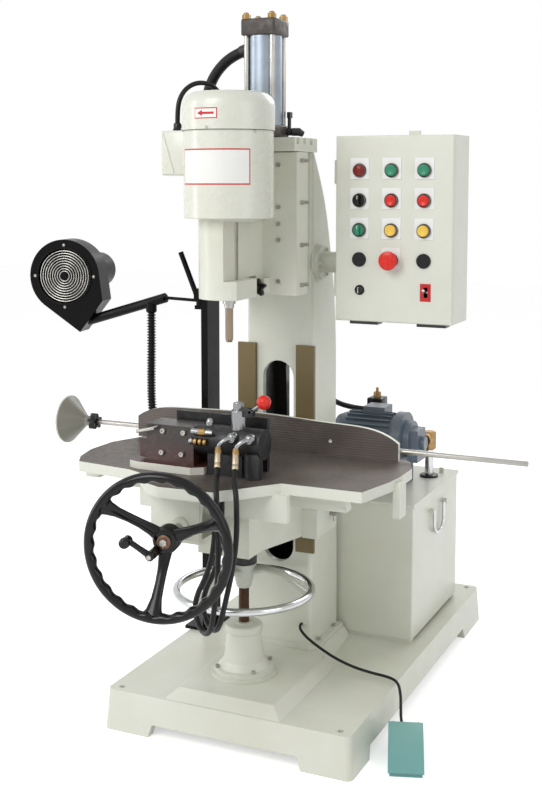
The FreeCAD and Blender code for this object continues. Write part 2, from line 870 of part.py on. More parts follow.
def control_rings():
    turning = plain_buttons + selectors
    parts = [bezel(column_x(c), row_z(r), button_r + run_fit, ring_r) for _, c, r in turning]
    parts.append(bezel(stop_x, stop_z, stop_stem_r + run_fit, ring_r + 1))
    y = box_front - plate_t
    for r, c in plain_plugs:
        x, z = column_x(c), row_z(r)
        parts.append(fuse([along_y(x, box_front - 6, box_front, z, ring_r + 0.5),
                           along_y(x, box_front - 1, box_front + 14, z, bore_r)]))
    x, z = column_x(0), row_z(0)
    parts.append(fuse([along_y(x, y - 6, y, z, ring_r), along_y(x, y - 13, y + 14, z, bore_r)]))
    kx, kz = key_at
    barrel = fuse([along_y(kx, box_front - 3, box_front, kz, key_r + key_wall + 2),
                   along_y(kx, box_front - 1, box_front + 12, kz, key_r + key_wall)])
    parts.append(barrel.cut(along_y(kx, box_front - 4, box_front + 13, kz, key_r + run_fit)))
    tx, tz = toggle_at
    pin = along_x(tx - 12, tx + 12, box_front + 8, tz, toggle_pin_r + run_fit)
    for x0 in (tx - 11, tx + 5.5):
        parts.append(box(x0, x0 + 5.5, box_front + box_sheet, box_front + 13, tz - 17, tz + 17).cut(pin))
    return Part.makeCompound(parts)


def push_button(c, r):
    return along_y(column_x(c), box_front - button_out, box_front + 12, row_z(r), button_r)


def selector(c, r):
    x, z = column_x(c), row_z(r)
    stem = along_y(x, box_front - 11, box_front + 12, z, button_r)
    grip_back = box_front - plate_t - ring_h - 0.8
    return stem.fuse(box(x - 4, x + 4, grip_back - 11, grip_back, z - 13, z + 13)).removeSplitter()


def emergency_stop():
    y = box_front
    stem = along_y(stop_x, y - 20, y + 12, stop_z, stop_stem_r)
    head = taper(V(stop_x, y - 17, stop_z), V(stop_x, y - 30, stop_z), stop_head_r - 7, stop_head_r)
    cap = taper(V(stop_x, y - 30, stop_z), V(stop_x, y - 36, stop_z), stop_head_r, stop_head_r - 6)
    return fuse([stem, head, cap])


def key_lock():
    x, z = key_at
    plug = along_y(x, box_front - 4, box_front + 11, z, key_r)
    return fuse([plug, box(x - 1, x + 1, box_front - 16, box_front - 3.6, z - 8, z + 8)])


def toggle_lever():
    x, z = toggle_at
    y = box_front + 8
    tip = V(x, box_front - 20, z + 7)
    return fuse([along_x(x - 5.2, x + 5.2, y, z, 4), along_x(x - 10, x + 10, y, z, toggle_pin_r),
                 taper(V(x, y, z), tip, 3, 4), Part.makeSphere(4.5, tip)])


# ---------------------------------------------------------------- moving head
def head_slide():
    h = way_span / 2
    body = box(mid_x - h, mid_x + h, slide_front, guide_front - slide_gap, slide_bottom, slide_top)
    root = tongue_root_w / 2 + slide_gap
    tip = tongue_tip_w / 2 + slide_gap
    y_tip = tongue_front - slide_gap
    groove = prism_z([(mid_x - root, guide_front), (mid_x + root, guide_front), (mid_x + tip, y_tip),
                      (mid_x - tip, y_tip)], slide_bottom - 1, slide_top + 1)
    # the housing stands out on a web; a pad above it carries the motor
    window_x = mid_x + 22
    parts = [body.cut(groove), along_z(mid_x, spin_y, housing_bottom, housing_top, housing_r),
             box(web_left, web_right, spin_y + 50, slide_front + 1, housing_bottom, housing_top),
             box(mid_x - 50, mid_x + 50, spin_y + 70, slide_front + 1, housing_top - 1, slide_top - 8),
             box(knob_x - 16, knob_x + 14, knob_y, slide_front + 1, slide_bottom + 8, window_floor - 6)]
    front = spin_y - housing_r - 1
    cuts = [box(window_x, window_x + 70, front, knob_y - 1, window_floor, housing_top - 8),
            box(window_x + 30, window_x + 70, front, knob_y - 1, housing_bottom - 1, window_floor + 1),
            box(knob_x - 30, knob_x + 36, spin_y + housing_r - 10, knob_y - 1, housing_bottom - 1,
                knob_z + knob_recess),
            along_z(mid_x, spin_y, housing_top, slide_top, motor_cover_r + 3),
            along_z(mid_x, spin_y, housing_bottom - 1, housing_top + 1, spin_r + run_fit),
            along_y(knob_x, knob_y - 1, knob_y + 27, knob_z, knob_stem_r + run_fit)]
    # the ram of the hydraulic cylinder stands on the slide
    piston_r = barrel_r - barrel_wall - run_fit
    ram = fuse([along_z(ram_x, ram_y, slide_top - 1, piston_z, ram_r),
                along_z(ram_x, ram_y, piston_z - 20, piston_z, piston_r)])
    r = motor_cable_r + 3
    gland = fuse([along_z(cable_gland_x, cable_gland_y, cable_gland_top - 22, cable_gland_top, r),
                  along_y(cable_gland_x, cable_gland_y, slide_front + 1, cable_gland_top - 12, r - 2)])
    return fuse(parts).cut(cuts).multiFuse([ram, gland]).removeSplitter()


def motor_housing():
    parts = [along_z(mid_x, spin_y, housing_top, motor_seam, motor_r),
             along_z(mid_x, spin_y, motor_seam, motor_top - 46, motor_cover_r)]
    dome = along_z(mid_x, spin_y, motor_top - 46, motor_top, motor_cover_r)
    parts.append(round_edges(dome, motor_dome_r, lambda e: e.BoundBox.ZMin > motor_top - 1))
    y0 = spin_y - terminal_d / 2 + 5
    tz = terminal_low + terminal_h
    parts += [box(terminal_l, mid_x - 90, y0, y0 + terminal_d, terminal_low, tz),
              along_z(cable_top_x, spin_y + 5, tz, tz + 22, motor_cable_r + 5)]
    inside = motor_r - motor_wall
    hollow = along_z(mid_x, spin_y, housing_top + 10, motor_top - 12, inside)
    hollow = round_edges(hollow, motor_dome_r - motor_wall, lambda e: e.BoundBox.ZMin > motor_top - 13)
    shaft_hole = along_z(mid_x, spin_y, housing_top - 1, housing_top + 11, spin_r + 6)
    stator = along_z(mid_x, spin_y, stator_low, stator_high, inside + 1).cut(
        along_z(mid_x, spin_y, stator_low - 1, stator_high + 1, stator_r))
    return fuse(parts).cut([hollow, shaft_hole]).fuse(stator).removeSplitter()


def motor_cable():
    start = V(cable_top_x, spin_y + 5, terminal_low + terminal_h + 22)
    end = V(cable_gland_x, cable_gland_y, cable_gland_top)
    route = [start, start.add(AZ * 34), V(-186, -489, 1720), V(-176, -474, 1745), V(-160, -451, 1761),
             V(-141, -423, 1763), V(-125, -397, 1750), V(-115, -379, 1724), V(-112, -371, 1686),
             V(-111, -370, 1644), V(-111, -368, 1602), V(-112, -363, 1562), end.add(AZ * 26), end]
    return cord_tube("motor_cable", route, motor_cable_r)


def head_screws():
    screws = []
    for drop in (34, 148, 194, 238, 351):
        z = slide_top - drop
        for x in (mid_x - 96, mid_x + 66):
            screws.append(along_y(x, slide_front - 6, slide_front, z, 6))
    x = mid_x + way_span / 2
    for drop in (22, 136, 252, 362):
        z = slide_top - drop
        screws.append(along_x(x, x + 8, -302, z, 6))
        screws.append(along_x(x, x + 12, -276, z, 5))
    return Part.makeCompound(screws)


def spindle():
    nose = housing_bottom - 3
    body = fuse([along_z(mid_x, spin_y, nose, stator_low, spin_r),
                 along_z(mid_x, spin_y, stator_low, stator_high, stator_r - air_gap),
                 along_z(mid_x, spin_y, stator_high, stator_high + 40, spin_r - 8),
                 along_z(mid_x, spin_y, nose - 12, nose, nose_nut_r),
                 along_z(mid_x, spin_y, collet_bottom, nose - 12, collet_r)])
    return body.cut(along_z(mid_x, spin_y, collet_bottom - 1, collet_bottom + 40, bit_r))


def mortise_bit():
    tip = bit_bottom + 8
    return fuse([along_z(mid_x, spin_y, tip, collet_bottom + 40, bit_r),
                 taper(V(mid_x, spin_y, tip), V(mid_x, spin_y, bit_bottom), bit_r, bit_r - 3)])


def depth_stop_knob():
    knob = star_knob(16, 5, 8.5, 14)
    knob = fuse([knob, along_z(0, 0, 13, 22, 9), along_z(0, 0, -28, 1, knob_stem_r)])
    return turned(knob, V(knob_x, knob_y - 4, knob_z), AX, AZ, AY * -1)


# ---------------------------------------------------------------- feed shaft directions
feed_angle = math.radians(feed_turn)
feed_out = V(math.sin(feed_angle), -math.cos(feed_angle), 0)
feed_right = V(math.cos(feed_angle), math.sin(feed_angle), 0)
feed_at = V(feed_x, feed_y, feed_z)


def on_feed_shaft(back):
    # a point on the shaft's axis, back from the plane of the rim
    return feed_at.sub(feed_out * back)


pinion_mid = (rack_y - feed_y) / math.cos(feed_angle)
shaft_len = (knee_front + 3 - feed_y) / math.cos(feed_angle)


# ---------------------------------------------------------------- knee
def knee_cheek(s):
    inner = mid_x + s * (way_span / 2 + way_gap)
    outer = inner + s * cheek_t
    slot = inner + s * gib_t
    top = knee_low + cheek_h - 4
    cheek = box(min(inner, outer), max(inner, outer), cheek_front, cheek_back, knee_low - 4, top)
    split = box(min(slot, slot + s * gib_slot_w), max(slot, slot + s * gib_slot_w), way_front - 24,
                cheek_back + 1, knee_low - 5, top + 1)
    root = inner - s * 12
    bridge = box(min(root, outer), max(root, outer), cheek_front, way_front - 30, knee_low, top)
    return [cheek.cut(split), bridge]


def knee_plan(inset):
    n = knee_nose_w / 2 - inset
    h = way_span / 2 - inset
    y0 = knee_front + inset
    y1 = way_front - way_gap - inset
    return [(mid_x - n, y0), (mid_x + n, y0), (mid_x + n, -455), (mid_x + h, -300), (mid_x + h, y1),
            (mid_x - h, y1), (mid_x - h, -300), (mid_x - n, -455)]


def knee_casting():
    body = prism_z(knee_plan(0), knee_low, knee_high)
    body = body.cut(prism_z(knee_plan(knee_wall), knee_low - 1, knee_high - knee_wall))
    rib = 6.0
    parts = [body, along_z(mid_x, screw_y, knee_boss_low, knee_high - 1, knee_boss_r),
             box(mid_x - rib, mid_x + rib, knee_front + 1, screw_y, knee_low + 6, knee_high - 1)]
    parts += knee_cheek(-1) + knee_cheek(1)
    root, tip = dove_root_w / 2, dove_tip_w / 2
    parts.append(prism_x([(dove_y - root, knee_high - 0.5), (dove_y + root, knee_high - 0.5),
                          (dove_y + tip, dove_z), (dove_y - tip, dove_z)],
                         mid_x - way_span / 2, mid_x + way_span / 2))
    tray_low = feed_z - pinion_r - 9
    tray_under = tray_low - tray_t
    tray_front = rack_y - tray_out
    wall_back = tray_front + tray_t
    section = [(tray_front, tray_under + 12), (tray_front + 12, tray_under), (knee_front + 1, tray_under),
               (knee_front + 1, tray_low), (wall_back, tray_low), (wall_back, feed_z + pinion_r),
               (wall_back + 14, tray_top), (tray_front, tray_top)]
    parts.append(prism_x(section, tray_l, tray_r))
    parts.append(box(tray_l, mid_x - knee_nose_w / 2 + 1, knee_front - 26, knee_front + 2, tray_under,
                     feed_z + pinion_r))
    body = fuse(parts)
    front_boss = rod(on_feed_shaft(feed_dish + 118), on_feed_shaft(feed_dish + 140), feed_shaft_r + 13)
    body = body.fuse(front_boss).removeSplitter()
    cuts = [along_z(mid_x, screw_y, knee_boss_low - 1, 610, journal_r + run_fit),
            rod(on_feed_shaft(feed_dish + 100), on_feed_shaft(shaft_len + 3), feed_shaft_r + run_fit),
            rod(on_feed_shaft(pinion_mid - pinion_l / 2 - 3), on_feed_shaft(pinion_mid + pinion_l / 2 + 3),
                pinion_r + 3),
            along_x(lock_x - cheek_t - 2, lock_x + 1, lock_y, lock_z, lock_r + run_fit)]
    return body.cut(cuts)


def knee_lock_screw():
    tip = lock_x - cheek_t + gib_t + 0.3
    return fuse([along_x(tip, lock_x + 18, lock_y, lock_z, lock_r),
                 along_z(lock_x + 12, lock_y, lock_z - 22, lock_z + 22, 3.5)])


def elevating_screw():
    shoulder = knee_boss_low - seat_gap
    return fuse([along_z(mid_x, screw_y, 165, shoulder, screw_r),
                 along_z(mid_x, screw_y, shoulder - 1, 604, journal_r)])


def elevating_wheel():
    c = V(mid_x, screw_y, 0)
    top = knee_boss_low - seat_gap
    waist = ewheel_z + 23
    collar = ewheel_z + 75
    parts = [Part.makeTorus(ewheel_r, ewheel_rim_r, V(mid_x, screw_y, ewheel_z), AZ),
             taper(c.add(AZ * ewheel_hub_low), c.add(AZ * waist), 18, 24),
             taper(c.add(AZ * waist), c.add(AZ * collar), 24, 36),
             along_z(mid_x, screw_y, collar, top, 36)]
    r, z = ewheel_r, ewheel_z
    profile = [(24, z + 63), (60, z + 69), (110, z + 59), (150, z + 27), (r, z + 5), (r, z - 6),
               (146, z + 11), (106, z + 43), (60, z + 53), (24, z + 43)]
    for a in (12, 132, 252):
        bar = spoke(profile, ewheel_spoke_w, a)
        bar.translate(c)
        parts.append(bar)
    return fuse(parts).cut(along_z(mid_x, screw_y, ewheel_hub_low - 1, top + 1, screw_r))


# ---------------------------------------------------------------- table, fence, stop rod
def table_casting():
    left = [(362, table_back), (-440, table_back), (-462, -270), (-497, -350), (-501, -458), (-480, -545),
            (-450, -598), (-275, -622)]
    nose = [(-232, -640), (-160, -728), (-112, -750), (36, -742), (50, -716), (82, -684), (118, -636),
            (156, -590)]
    right = [(372, -587), (402, -461), (409, -399), (409, -300), (382, -232)]
    top = prism_z(left + nose + right, table_low, table_z)
    x0 = mid_x - rail_l / 2
    x1 = mid_x + rail_l / 2
    rail = box(x0, x1, dove_y - rail_w / 2, dove_y + rail_w / 2, rail_low, table_low + 1)
    g = slide_gap
    root = dove_root_w / 2 + g
    tip = dove_tip_w / 2 + 2 * g
    rail = rail.cut(prism_x([(dove_y - root, knee_high - g), (dove_y + root, knee_high - g),
                             (dove_y + tip, dove_z + g), (dove_y - tip, dove_z + g)], x0 - 1, x1 + 1))
    parts = [top, rail, box(mid_x - rack_l / 2, mid_x + rack_l / 2, rack_y - rack_t / 2, rack_y + rack_t / 2,
                            feed_z + pinion_r + 3, table_low + 1)]
    end = right[2][0]
    parts.append(box(end - 9, end + 11, -432, -384, table_low - 75, table_low + 17))
    parts.append(box(-480, -436, -520, -440, table_low - 35, table_low + 1))
    parts.append(box(-408, -390, -520, -480, table_low - 27, table_low + 1))
    return fuse(parts)


def fence():
    a, b = fence_l, fence_r
    h0, h1 = table_z + fence_end_h, table_z + fence_mid_h
    low = [V(a, fence_y, h0), V(a, fence_y, table_z), V(b, fence_y, table_z), V(b, fence_y, h0 - 12)]
    ridge = Part.BSplineCurve()
    ridge.interpolate([V(b, fence_y, h0 - 12), V(b - 34, fence_y, h0 + 8), V(b - 180, fence_y, h1 - 11),
                       V((a + b) / 2, fence_y, h1), V(a + 170, fence_y, h1 - 4), V(a + 16, fence_y, h0 + 10),
                       V(a, fence_y, h0)])
    outline = [Part.makeLine(p, q) for p, q in zip(low, low[1:])] + [ridge.toShape()]
    plate = Part.Face(Part.Wire(outline)).extrude(V(0, fence_t, 0))
    y1 = fence_y + fence_t
    parts = [plate, box(a + 20, b - 20, y1 - 1, rod_y + 6, table_z, table_z + 10)]
    lug_x = (a + 40, b - 42)
    for x in lug_x:
        parts.append(box(x - 12, x + 12, y1 - 1, rod_y + 13, table_z + 9, rod_z + 16))
    body = fuse(parts)
    cuts = [along_x(x - 13, x + 13, rod_y, rod_z, rod_r + run_fit) for x in lug_x]
    cuts.append(along_y(b - 200, fence_y - 1, y1 + 1, table_z + 41, 5))
    return body.cut(cuts)


def stop_rod():
    x = cone_x
    skin = taper(V(x, rod_y, rod_z), V(x + cone_l, rod_y, rod_z), cone_r, rod_r + 8)
    hollow = taper(V(x - 1, rod_y, rod_z), V(x + cone_l - 18, rod_y, rod_z), cone_r - cone_wall, rod_r + 12)
    parts = [skin.cut(hollow), along_x(x + cone_l - 30, x + cone_l + 18, rod_y, rod_z, rod_r + 8),
             along_x(x + cone_l - 30, rod_end, rod_y, rod_z, rod_r)]
    knob = turned(star_knob(17, 5, 8, 24), V(x + cone_l + 17, rod_y, rod_z), AY * -1, AZ, AX)
    return fuse(parts + [knob])


# ---------------------------------------------------------------- work clamp
def clamp_base():
    slab = prism_z([(-296, -560), (-288, -596), (-262, -606), (-96, -612), (-66, -592), (-66, -540),
                    (-100, -508), (-262, -508), (-290, -526)], table_z, table_z + slab_t)
    block = box(block_r - 142, block_r, block_front, block_front + 80, table_z + slab_t, clamp_top)
    ear = box(block_r - 172, block_r - 141, block_front + 16, block_front + 62, table_z + 27, clamp_z - 10)
    return fuse([slab, block, ear])


def clamp_back():
    # the flat back of the cylinder's body, where the rams come out
    return box(block_r, clamp_body_r, clamp_y, clamp_y + clamp_r - 4, clamp_block_low, clamp_z + 34)


def clamp_cylinder():
    parts = [along_x(block_r, 94, clamp_y, clamp_z, clamp_r), clamp_back(),
             box(-60, 40, clamp_y - 26, clamp_y + 26, table_z, clamp_z - 30)]
    leg = along_z(70, clamp_y - 18, table_z, clamp_z - 20, 24)
    bores = [along_y(x, clamp_y - 30, clamp_y + clamp_r + 2, clamp_z, clamp_ram_r + run_fit)
             for x in clamp_ram_x]
    return fuse(parts + [leg]).cut(bores)


def clamp_jaw():
    plate = box(jaw_l, jaw_r, jaw_front, jaw_back, table_z + seat_gap, jaw_top)
    rams = [along_y(x, clamp_y - 20, jaw_front + 1, clamp_z, clamp_ram_r) for x in clamp_ram_x]
    return fuse([plate] + rams)


def ferrule_top(x):
    # the ferrules hang to the left of their banjos
    return V(x - 28, clamp_y - 68, banjo_z - 25)


def clamp_fittings():
    face = block_front
    screws = ((-90, 20), (-28, 20), (-94, -38), (-34, -38))
    parts = [along_y(block_r + dx, face - 8, face, clamp_z + dz, 8) for dx, dz in screws]
    shell = along_x(block_r, 94, clamp_y, clamp_z, clamp_r)
    for x in banjo_x:
        top = ferrule_top(x)
        banjo = fuse([along_y(x, clamp_y - 58, clamp_y - 30, banjo_z, 13),
                      rod(V(x, clamp_y - 50, banjo_z), top, 6),
                      rod(top, top.add(ferrule_way), clamp_hose_r + 1.5)])
        parts.append(banjo.cut(shell))
    stack_z = clamp_z + 4
    parts.append(fuse([along_x(block_r - 20, block_r + 44, clamp_y - 46, stack_z, 8),
                       along_y(block_r + 22, clamp_y - 46, clamp_y - 34, stack_z, 8)]).cut(shell))
    parts.append(along_z(block_r + 30, clamp_y, clamp_z + 28, clamp_z + 58, 10).cut(shell))
    # the hand valve: a round cap with a fork for its lever
    x = hand_valve_x
    valve = fuse([along_z(x, clamp_y, clamp_z + 33, lever_z + 12, 20),
                  along_z(x, clamp_y, lever_z, lever_z + 22, 14),
                  box(x + 2, lever_x + 7, clamp_y - 12, clamp_y + 12, lever_z - 14, lever_z + 8)])
    gap = box(lever_x - 8, lever_x + 8, clamp_y - 7.4, clamp_y + 7.4, lever_z - 9, lever_z + 40)
    pin = along_y(lever_x, clamp_y - 13, clamp_y + 13, lever_z, lever_pin_r + run_fit)
    parts.append(valve.cut([gap, pin, shell, clamp_back()]))
    z = clamp_z + 28
    parts.append(fuse([rod(V(-262, face - 10, z - 14), V(-206, face - 20, z), 5),
                       along_y(-206, face - 24, face, z, 5)]))
    return Part.makeCompound(parts)


def valve_lever():
    at = V(lever_x, clamp_y, lever_z)
    ball = at.add(V(36, 0, 27))
    return fuse([rod(at, ball, 5), Part.makeSphere(19, ball),
                 along_y(at.x, at.y - 7, at.y + 7, at.z, lever_eye_r),
                 along_y(at.x, at.y - 12, at.y + 12, at.z, lever_pin_r)])


def clamp_hose_left():
    start = ferrule_top(banjo_x[0]).add(ferrule_way)
    route = [start, start.add(ferrule_way * 0.3), V(27, -702, 757), V(43, -733, 756), V(56, -757, 738),
             V(63, -768, 700), V(66, -771, 650), V(68, -772, 598), V(67, -772, 546), V(62, -770, 498),
             V(54, -767, 450), V(46, -763, 408), V(28, -747, 375), V(-1, -722, 363), V(-30, -697, 375),
             V(-48, -682, 408), V(-39, -680, 448), V(-19, -683, 484), V(-1, -688, 524), V(12, -692, 568),
             V(18, -694, 614), V(20, -694, 662), V(20, -694, table_low)]
    return cord_tube("clamp_hose_left", route, clamp_hose_r)


def clamp_hose_right():
    start = ferrule_top(banjo_x[1]).add(ferrule_way)
    route = [start, start.add(ferrule_way * 0.3), V(76, -698, 752), V(90, -717, 728), V(96, -726, 690),
             V(98, -730, 640), V(95, -733, 588), V(87, -736, 536), V(77, -737, 490), V(66, -736, 446),
             V(55, -733, 408), V(37, -718, 375), V(7, -693, 363), V(-22, -668, 375), V(-40, -653, 408),
             V(-33, -648, 448), V(-14, -649, 484), V(4, -654, 524), V(18, -663, 568), V(27, -671, 614),
             V(30, -676, 662), V(30, -676, table_low)]
    return cord_tube("clamp_hose_right", route, clamp_hose_r)


# ---------------------------------------------------------------- feed handwheel
pivot = V(handle_x, handle_z, handle_lift - feed_dish)
grip_dir = V(math.cos(math.radians(handle_turn)), math.sin(math.radians(handle_turn)), 0)


def feed_handwheel():
    d = -feed_dish
    parts = [Part.makeTorus(feed_r, feed_rim_r, V(0, 0, 0), AZ), along_z(0, 0, d - 16, d + 34, feed_hub_r),
             along_z(0, 0, d + 33, d + 42, 18)]
    r = feed_r - 4
    profile = [(20, d + 8), (90, -34), (r, -5), (r, 9), (90, -16), (20, d + 30)]
    parts += [spoke(profile, feed_spoke_w, a) for a in (25, 145, 265)]
    parts += [along_z(0, 0, -shaft_len, d - 10, feed_shaft_r),
              along_z(0, 0, -pinion_mid - pinion_l / 2, -pinion_mid + pinion_l / 2, pinion_r),
              along_z(pivot.x, pivot.y, d, pivot.z, 12)]
    wheel = fuse(parts).cut(along_z(pivot.x, pivot.y, d + 2, pivot.z + 30, 5 + run_fit))
    return turned(wheel, feed_at, feed_right, AZ, feed_out)


def folding_handle():
    tip = pivot.add(grip_dir * handle_l)
    z = pivot.z + 12.5
    parts = [rod(V(pivot.x, pivot.y, z), V(tip.x, tip.y, z + 6), 8),
             along_z(pivot.x, pivot.y, pivot.z + seat_gap, z + 10, 11),
             along_z(tip.x, tip.y, z - 2, z + 40, 14), along_z(pivot.x, pivot.y, pivot.z - 24, z, 5)]
    return turned(fuse(parts), feed_at, feed_right, AZ, feed_out)


# ---------------------------------------------------------------- blower on its post
blow_angle = math.radians(blow_turn)
blow_out = V(math.sin(blow_angle), -math.cos(blow_angle), 0)
blow_right = V(math.cos(blow_angle), math.sin(blow_angle), 0)
blow_at = V(blow_x, blow_y, blow_z)


def rim_tangent(p, side):
    # where a straight line from p meets the drum's edge; side picks one of the two
    reach = math.hypot(p.x, p.y)
    a = math.atan2(p.y, p.x) + side * math.acos(blow_r / reach)
    return V(blow_r * math.cos(a), blow_r * math.sin(a), 0)


def blower_post():
    x1 = post_x + post_w
    foot = box(x1 - 68, x1 + 18, post_y - 30, post_y + post_d + 30, base_h, base_h + 10)
    bar = box(post_x, x1, post_y, post_y + post_d, base_h + 9, post_top)
    bar = bar.cut(box(post_x - 1, post_x + 6, post_y + 10, post_y + post_d - 10, 200, 1080))
    parts = [foot, bar, along_z(pivot_x, pivot_y, ear_low, ear_high, pivot_r)]
    for z in (ear_low, ear_high - 12):
        parts.append(box(pivot_x - 14, post_x + 1, pivot_y - 14, pivot_y + 14, z, z + 12))
    lever_y = post_y - 12
    parts.append(rod(V(post_x - 8, lever_y, 1155), V(post_x - 62, lever_y, 1285), blow_lever_r))
    parts.append(box(post_x - 14, post_x + 10, post_y - 20, post_y + 1, 1140, 1176))
    return fuse(parts)


def blower_case():
    r = blow_r
    d = blow_d
    drum = along_z(0, 0, -d, 0, r)
    corners = [rim_tangent(mouth_low, -1), mouth_low, mouth_high, rim_tangent(mouth_high, 1), V(0, 20, 0)]
    mouth = face_of([c.sub(AZ * d) for c in corners]).extrude(AZ * d)
    body = drum.fuse(mouth).removeSplitter().cut(along_z(0, 0, -d + 8, 1, blow_eye_r))
    e = blow_eye_r + 3
    back = -d - blow_motor_l
    parts = [body, along_z(0, 0, back + 6, -d, blow_motor_r),
             along_z(0, 0, back, back + 6, blow_motor_r - 12),
             box(-e, e, -2, 2, -3, 0), box(-2, 2, -e, e, -3, 0), along_z(0, 0, -3, 2, 10)]
    rings = 3
    for i in range(rings):
        parts.append(Part.makeTorus(blow_eye_r * (i + 1) / (rings + 0.6), 1.6, V(0, 0, -1.5), AZ))
    body = fuse(parts).cut(along_z(0, 0, -d - 20, -d + 9, 6 + run_fit))
    return turned(body, blow_at, blow_right, AZ, blow_out)


duct_start = blow_at.add(blow_right * duct_side).sub(AZ * duct_drop).sub(blow_out * duct_back)
duct_end = V(duct_end_x, duct_end_y, duct_end_z)
neck = duct_start.add(duct_end.sub(duct_start) * neck_share)


def blower_head():
    ear_gap = 0.4
    parts = [blower_case(), rod(duct_start, duct_end, duct_r),
             rod(duct_end, V(pivot_x - 8, pivot_y, link_z), 5),
             along_z(pivot_x, pivot_y, ear_low + 12 + ear_gap, ear_high - 12 - ear_gap, pivot_r + 7),
             along_z(neck.x, neck.y, hose_neck_z, neck.z, blower_hose_r + 2)]
    return fuse(parts).cut(along_z(pivot_x, pivot_y, ear_low, ear_high, pivot_r + run_fit))


def blower_impeller():
    d = blow_d
    parts = [along_z(0, 0, -d + 10, -d + 16, impeller_r), along_z(0, 0, -d - 19, -20, 6),
             along_z(0, 0, -d + 15, -34, 16)]
    blades = 10
    for i in range(blades):
        blade = box(impeller_r - 26, impeller_r - 2, -1.5, 1.5, -d + 15, -16)
        blade.rotate(V(impeller_r - 14, 0, 0), AZ, 35)
        blade.rotate(V(0, 0, 0), AZ, 360.0 * i / blades)
        parts.append(blade)
    return turned(fuse(parts), blow_at, blow_right, AZ, blow_out)


def blower_hose():
    x, y = neck.x, neck.y
    top = hose_neck_z
    route = [V(x, y, top), V(x, y, top - 100), V(x - 4, y + 2, top - 200), V(x - 6, y + 6, top - 290),
             V(x, y + 8, top - 360), V(x + 8, y + 4, top - 410), V(x + 10, y, top - 440)]
    return cord_tube("blower_hose", route, blower_hose_r)


def blower_nozzle():
    at = V(neck.x + 10, neck.y, hose_neck_z - 440)
    way = V(2, -4, -30)
    way.normalize()
    body = fuse([rod(at, at.add(way * 30), blower_hose_r + 3),
                 taper(at.add(way * 30), at.add(way * 62), blower_hose_r, 8)])
    return body.cut(rod(at.add(way * 6), at.add(way * 63), 6))


# ---------------------------------------------------------------- foot switch
pedal_angle = math.radians(pedal_turn)
pedal_out = V(math.sin(pedal_angle), -math.cos(pedal_angle), 0)
pedal_right = V(math.cos(pedal_angle), math.sin(pedal_angle), 0)
pedal_at = V(pedal_x, pedal_y, 0)


def on_floor(shape):
    return turned(shape, pedal_at, pedal_right, pedal_out * -1, AZ)


def footswitch_body():
    h = pedal_w / 2 - 4
    i = h - pedal_wall
    side = prism_x([(-84, 0), (92, 0), (92, 54), (60, 46), (30, 44), (-60, 13), (-84, 10)], -h, h)
    body = side.cut(box(-i, i, -74, 84, 7, 70))
    return on_floor(body.cut(along_x(-h - 1, h + 1, pedal_pin_y, pedal_pin_z, pedal_pin_r + run_fit)))


def foot_pedal():
    h = pedal_w / 2
    top = [(88, 64), (74, 72), (30, 66), (-66, 34), (-92, 22)]
    lid = prism_x(top + [(-92, 12), (-89, 12), (-89, 18), (-66, 30), (30, 62), (74, 68), (88, 60)], -h, h)
    parts = [lid]
    skirt = top + [(-92, 12), (-66, 18), (30, 48), (74, 56), (88, 56)]
    for x in (-h, h - 3):
        parts.append(prism_x(skirt, x, x + 3))
    ear = h - 4 - pedal_wall - 0.5
    for x in (-ear, ear - 5):
        parts.append(box(x, x + 5, pedal_pin_y - 8, pedal_pin_y + 8, pedal_pin_z - 8, 70))
    parts.append(along_x(-h + 4.5, h - 4.5, pedal_pin_y, pedal_pin_z, pedal_pin_r))
    return on_floor(fuse(parts))


def pedal_cable():
    y = col_front - pedal_gland
    tail = pedal_at.sub(pedal_out * 92).add(AZ * 30)
    route = [V(46, y, 214), V(46, y - 14, 214), V(53, y - 28, 209), V(68, y - 38, 200), V(90, y - 43, 187),
             V(128, y - 47, 168), V(174, y - 49, 148), V(228, y - 48, 132), V(284, y - 48, 125),
             V(338, y - 57, 126), V(366, y - 71, 122), V(380, y - 89, 100), V(386, y - 105, 68),
             V(392, y - 121, 44), V(402, y - 137, 32), tail.sub(pedal_out * 20), tail]
    return cord_tube("pedal_cable", route, pedal_cable_r)


# ---------------------------------------------------------------- files
os.makedirs("parts", exist_ok=True)
makers = [base_casting, column_casting, way_strips, screw_pedestal, frame_bolts, cylinder_barrel, cylinder_caps,
          cylinder_fittings, cylinder_hose, tank_body, tank_handle, pump_motor, tank_fittings, pressure_hose,
          control_arm, box_shell, box_door, control_rings, emergency_stop, key_lock, toggle_lever,
          head_slide, motor_housing, motor_cable, head_screws, spindle, mortise_bit, depth_stop_knob,
          knee_casting, knee_lock_screw, elevating_screw, elevating_wheel, table_casting, fence, stop_rod,
          clamp_base, clamp_cylinder, clamp_jaw, clamp_fittings, valve_lever, clamp_hose_left, clamp_hose_right,
          feed_handwheel, folding_handle, blower_post, blower_head, blower_impeller, blower_hose, blower_nozzle,
          footswitch_body, foot_pedal, pedal_cable]
for make in makers:
    shape = make()
    shape.exportStep("parts/" + make.__name__ + ".step")
for name, c, r in plain_buttons:
    shape = push_button(c, r)
    shape.exportStep("parts/" + name + ".step")
for name, c, r in selectors:
    shape = selector(c, r)
    shape.exportStep("parts/" + name + ".step")
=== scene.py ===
import bpy
import bmesh
from math import atan2, cos, pi, radians, sin
from mathutils import Matrix, Vector


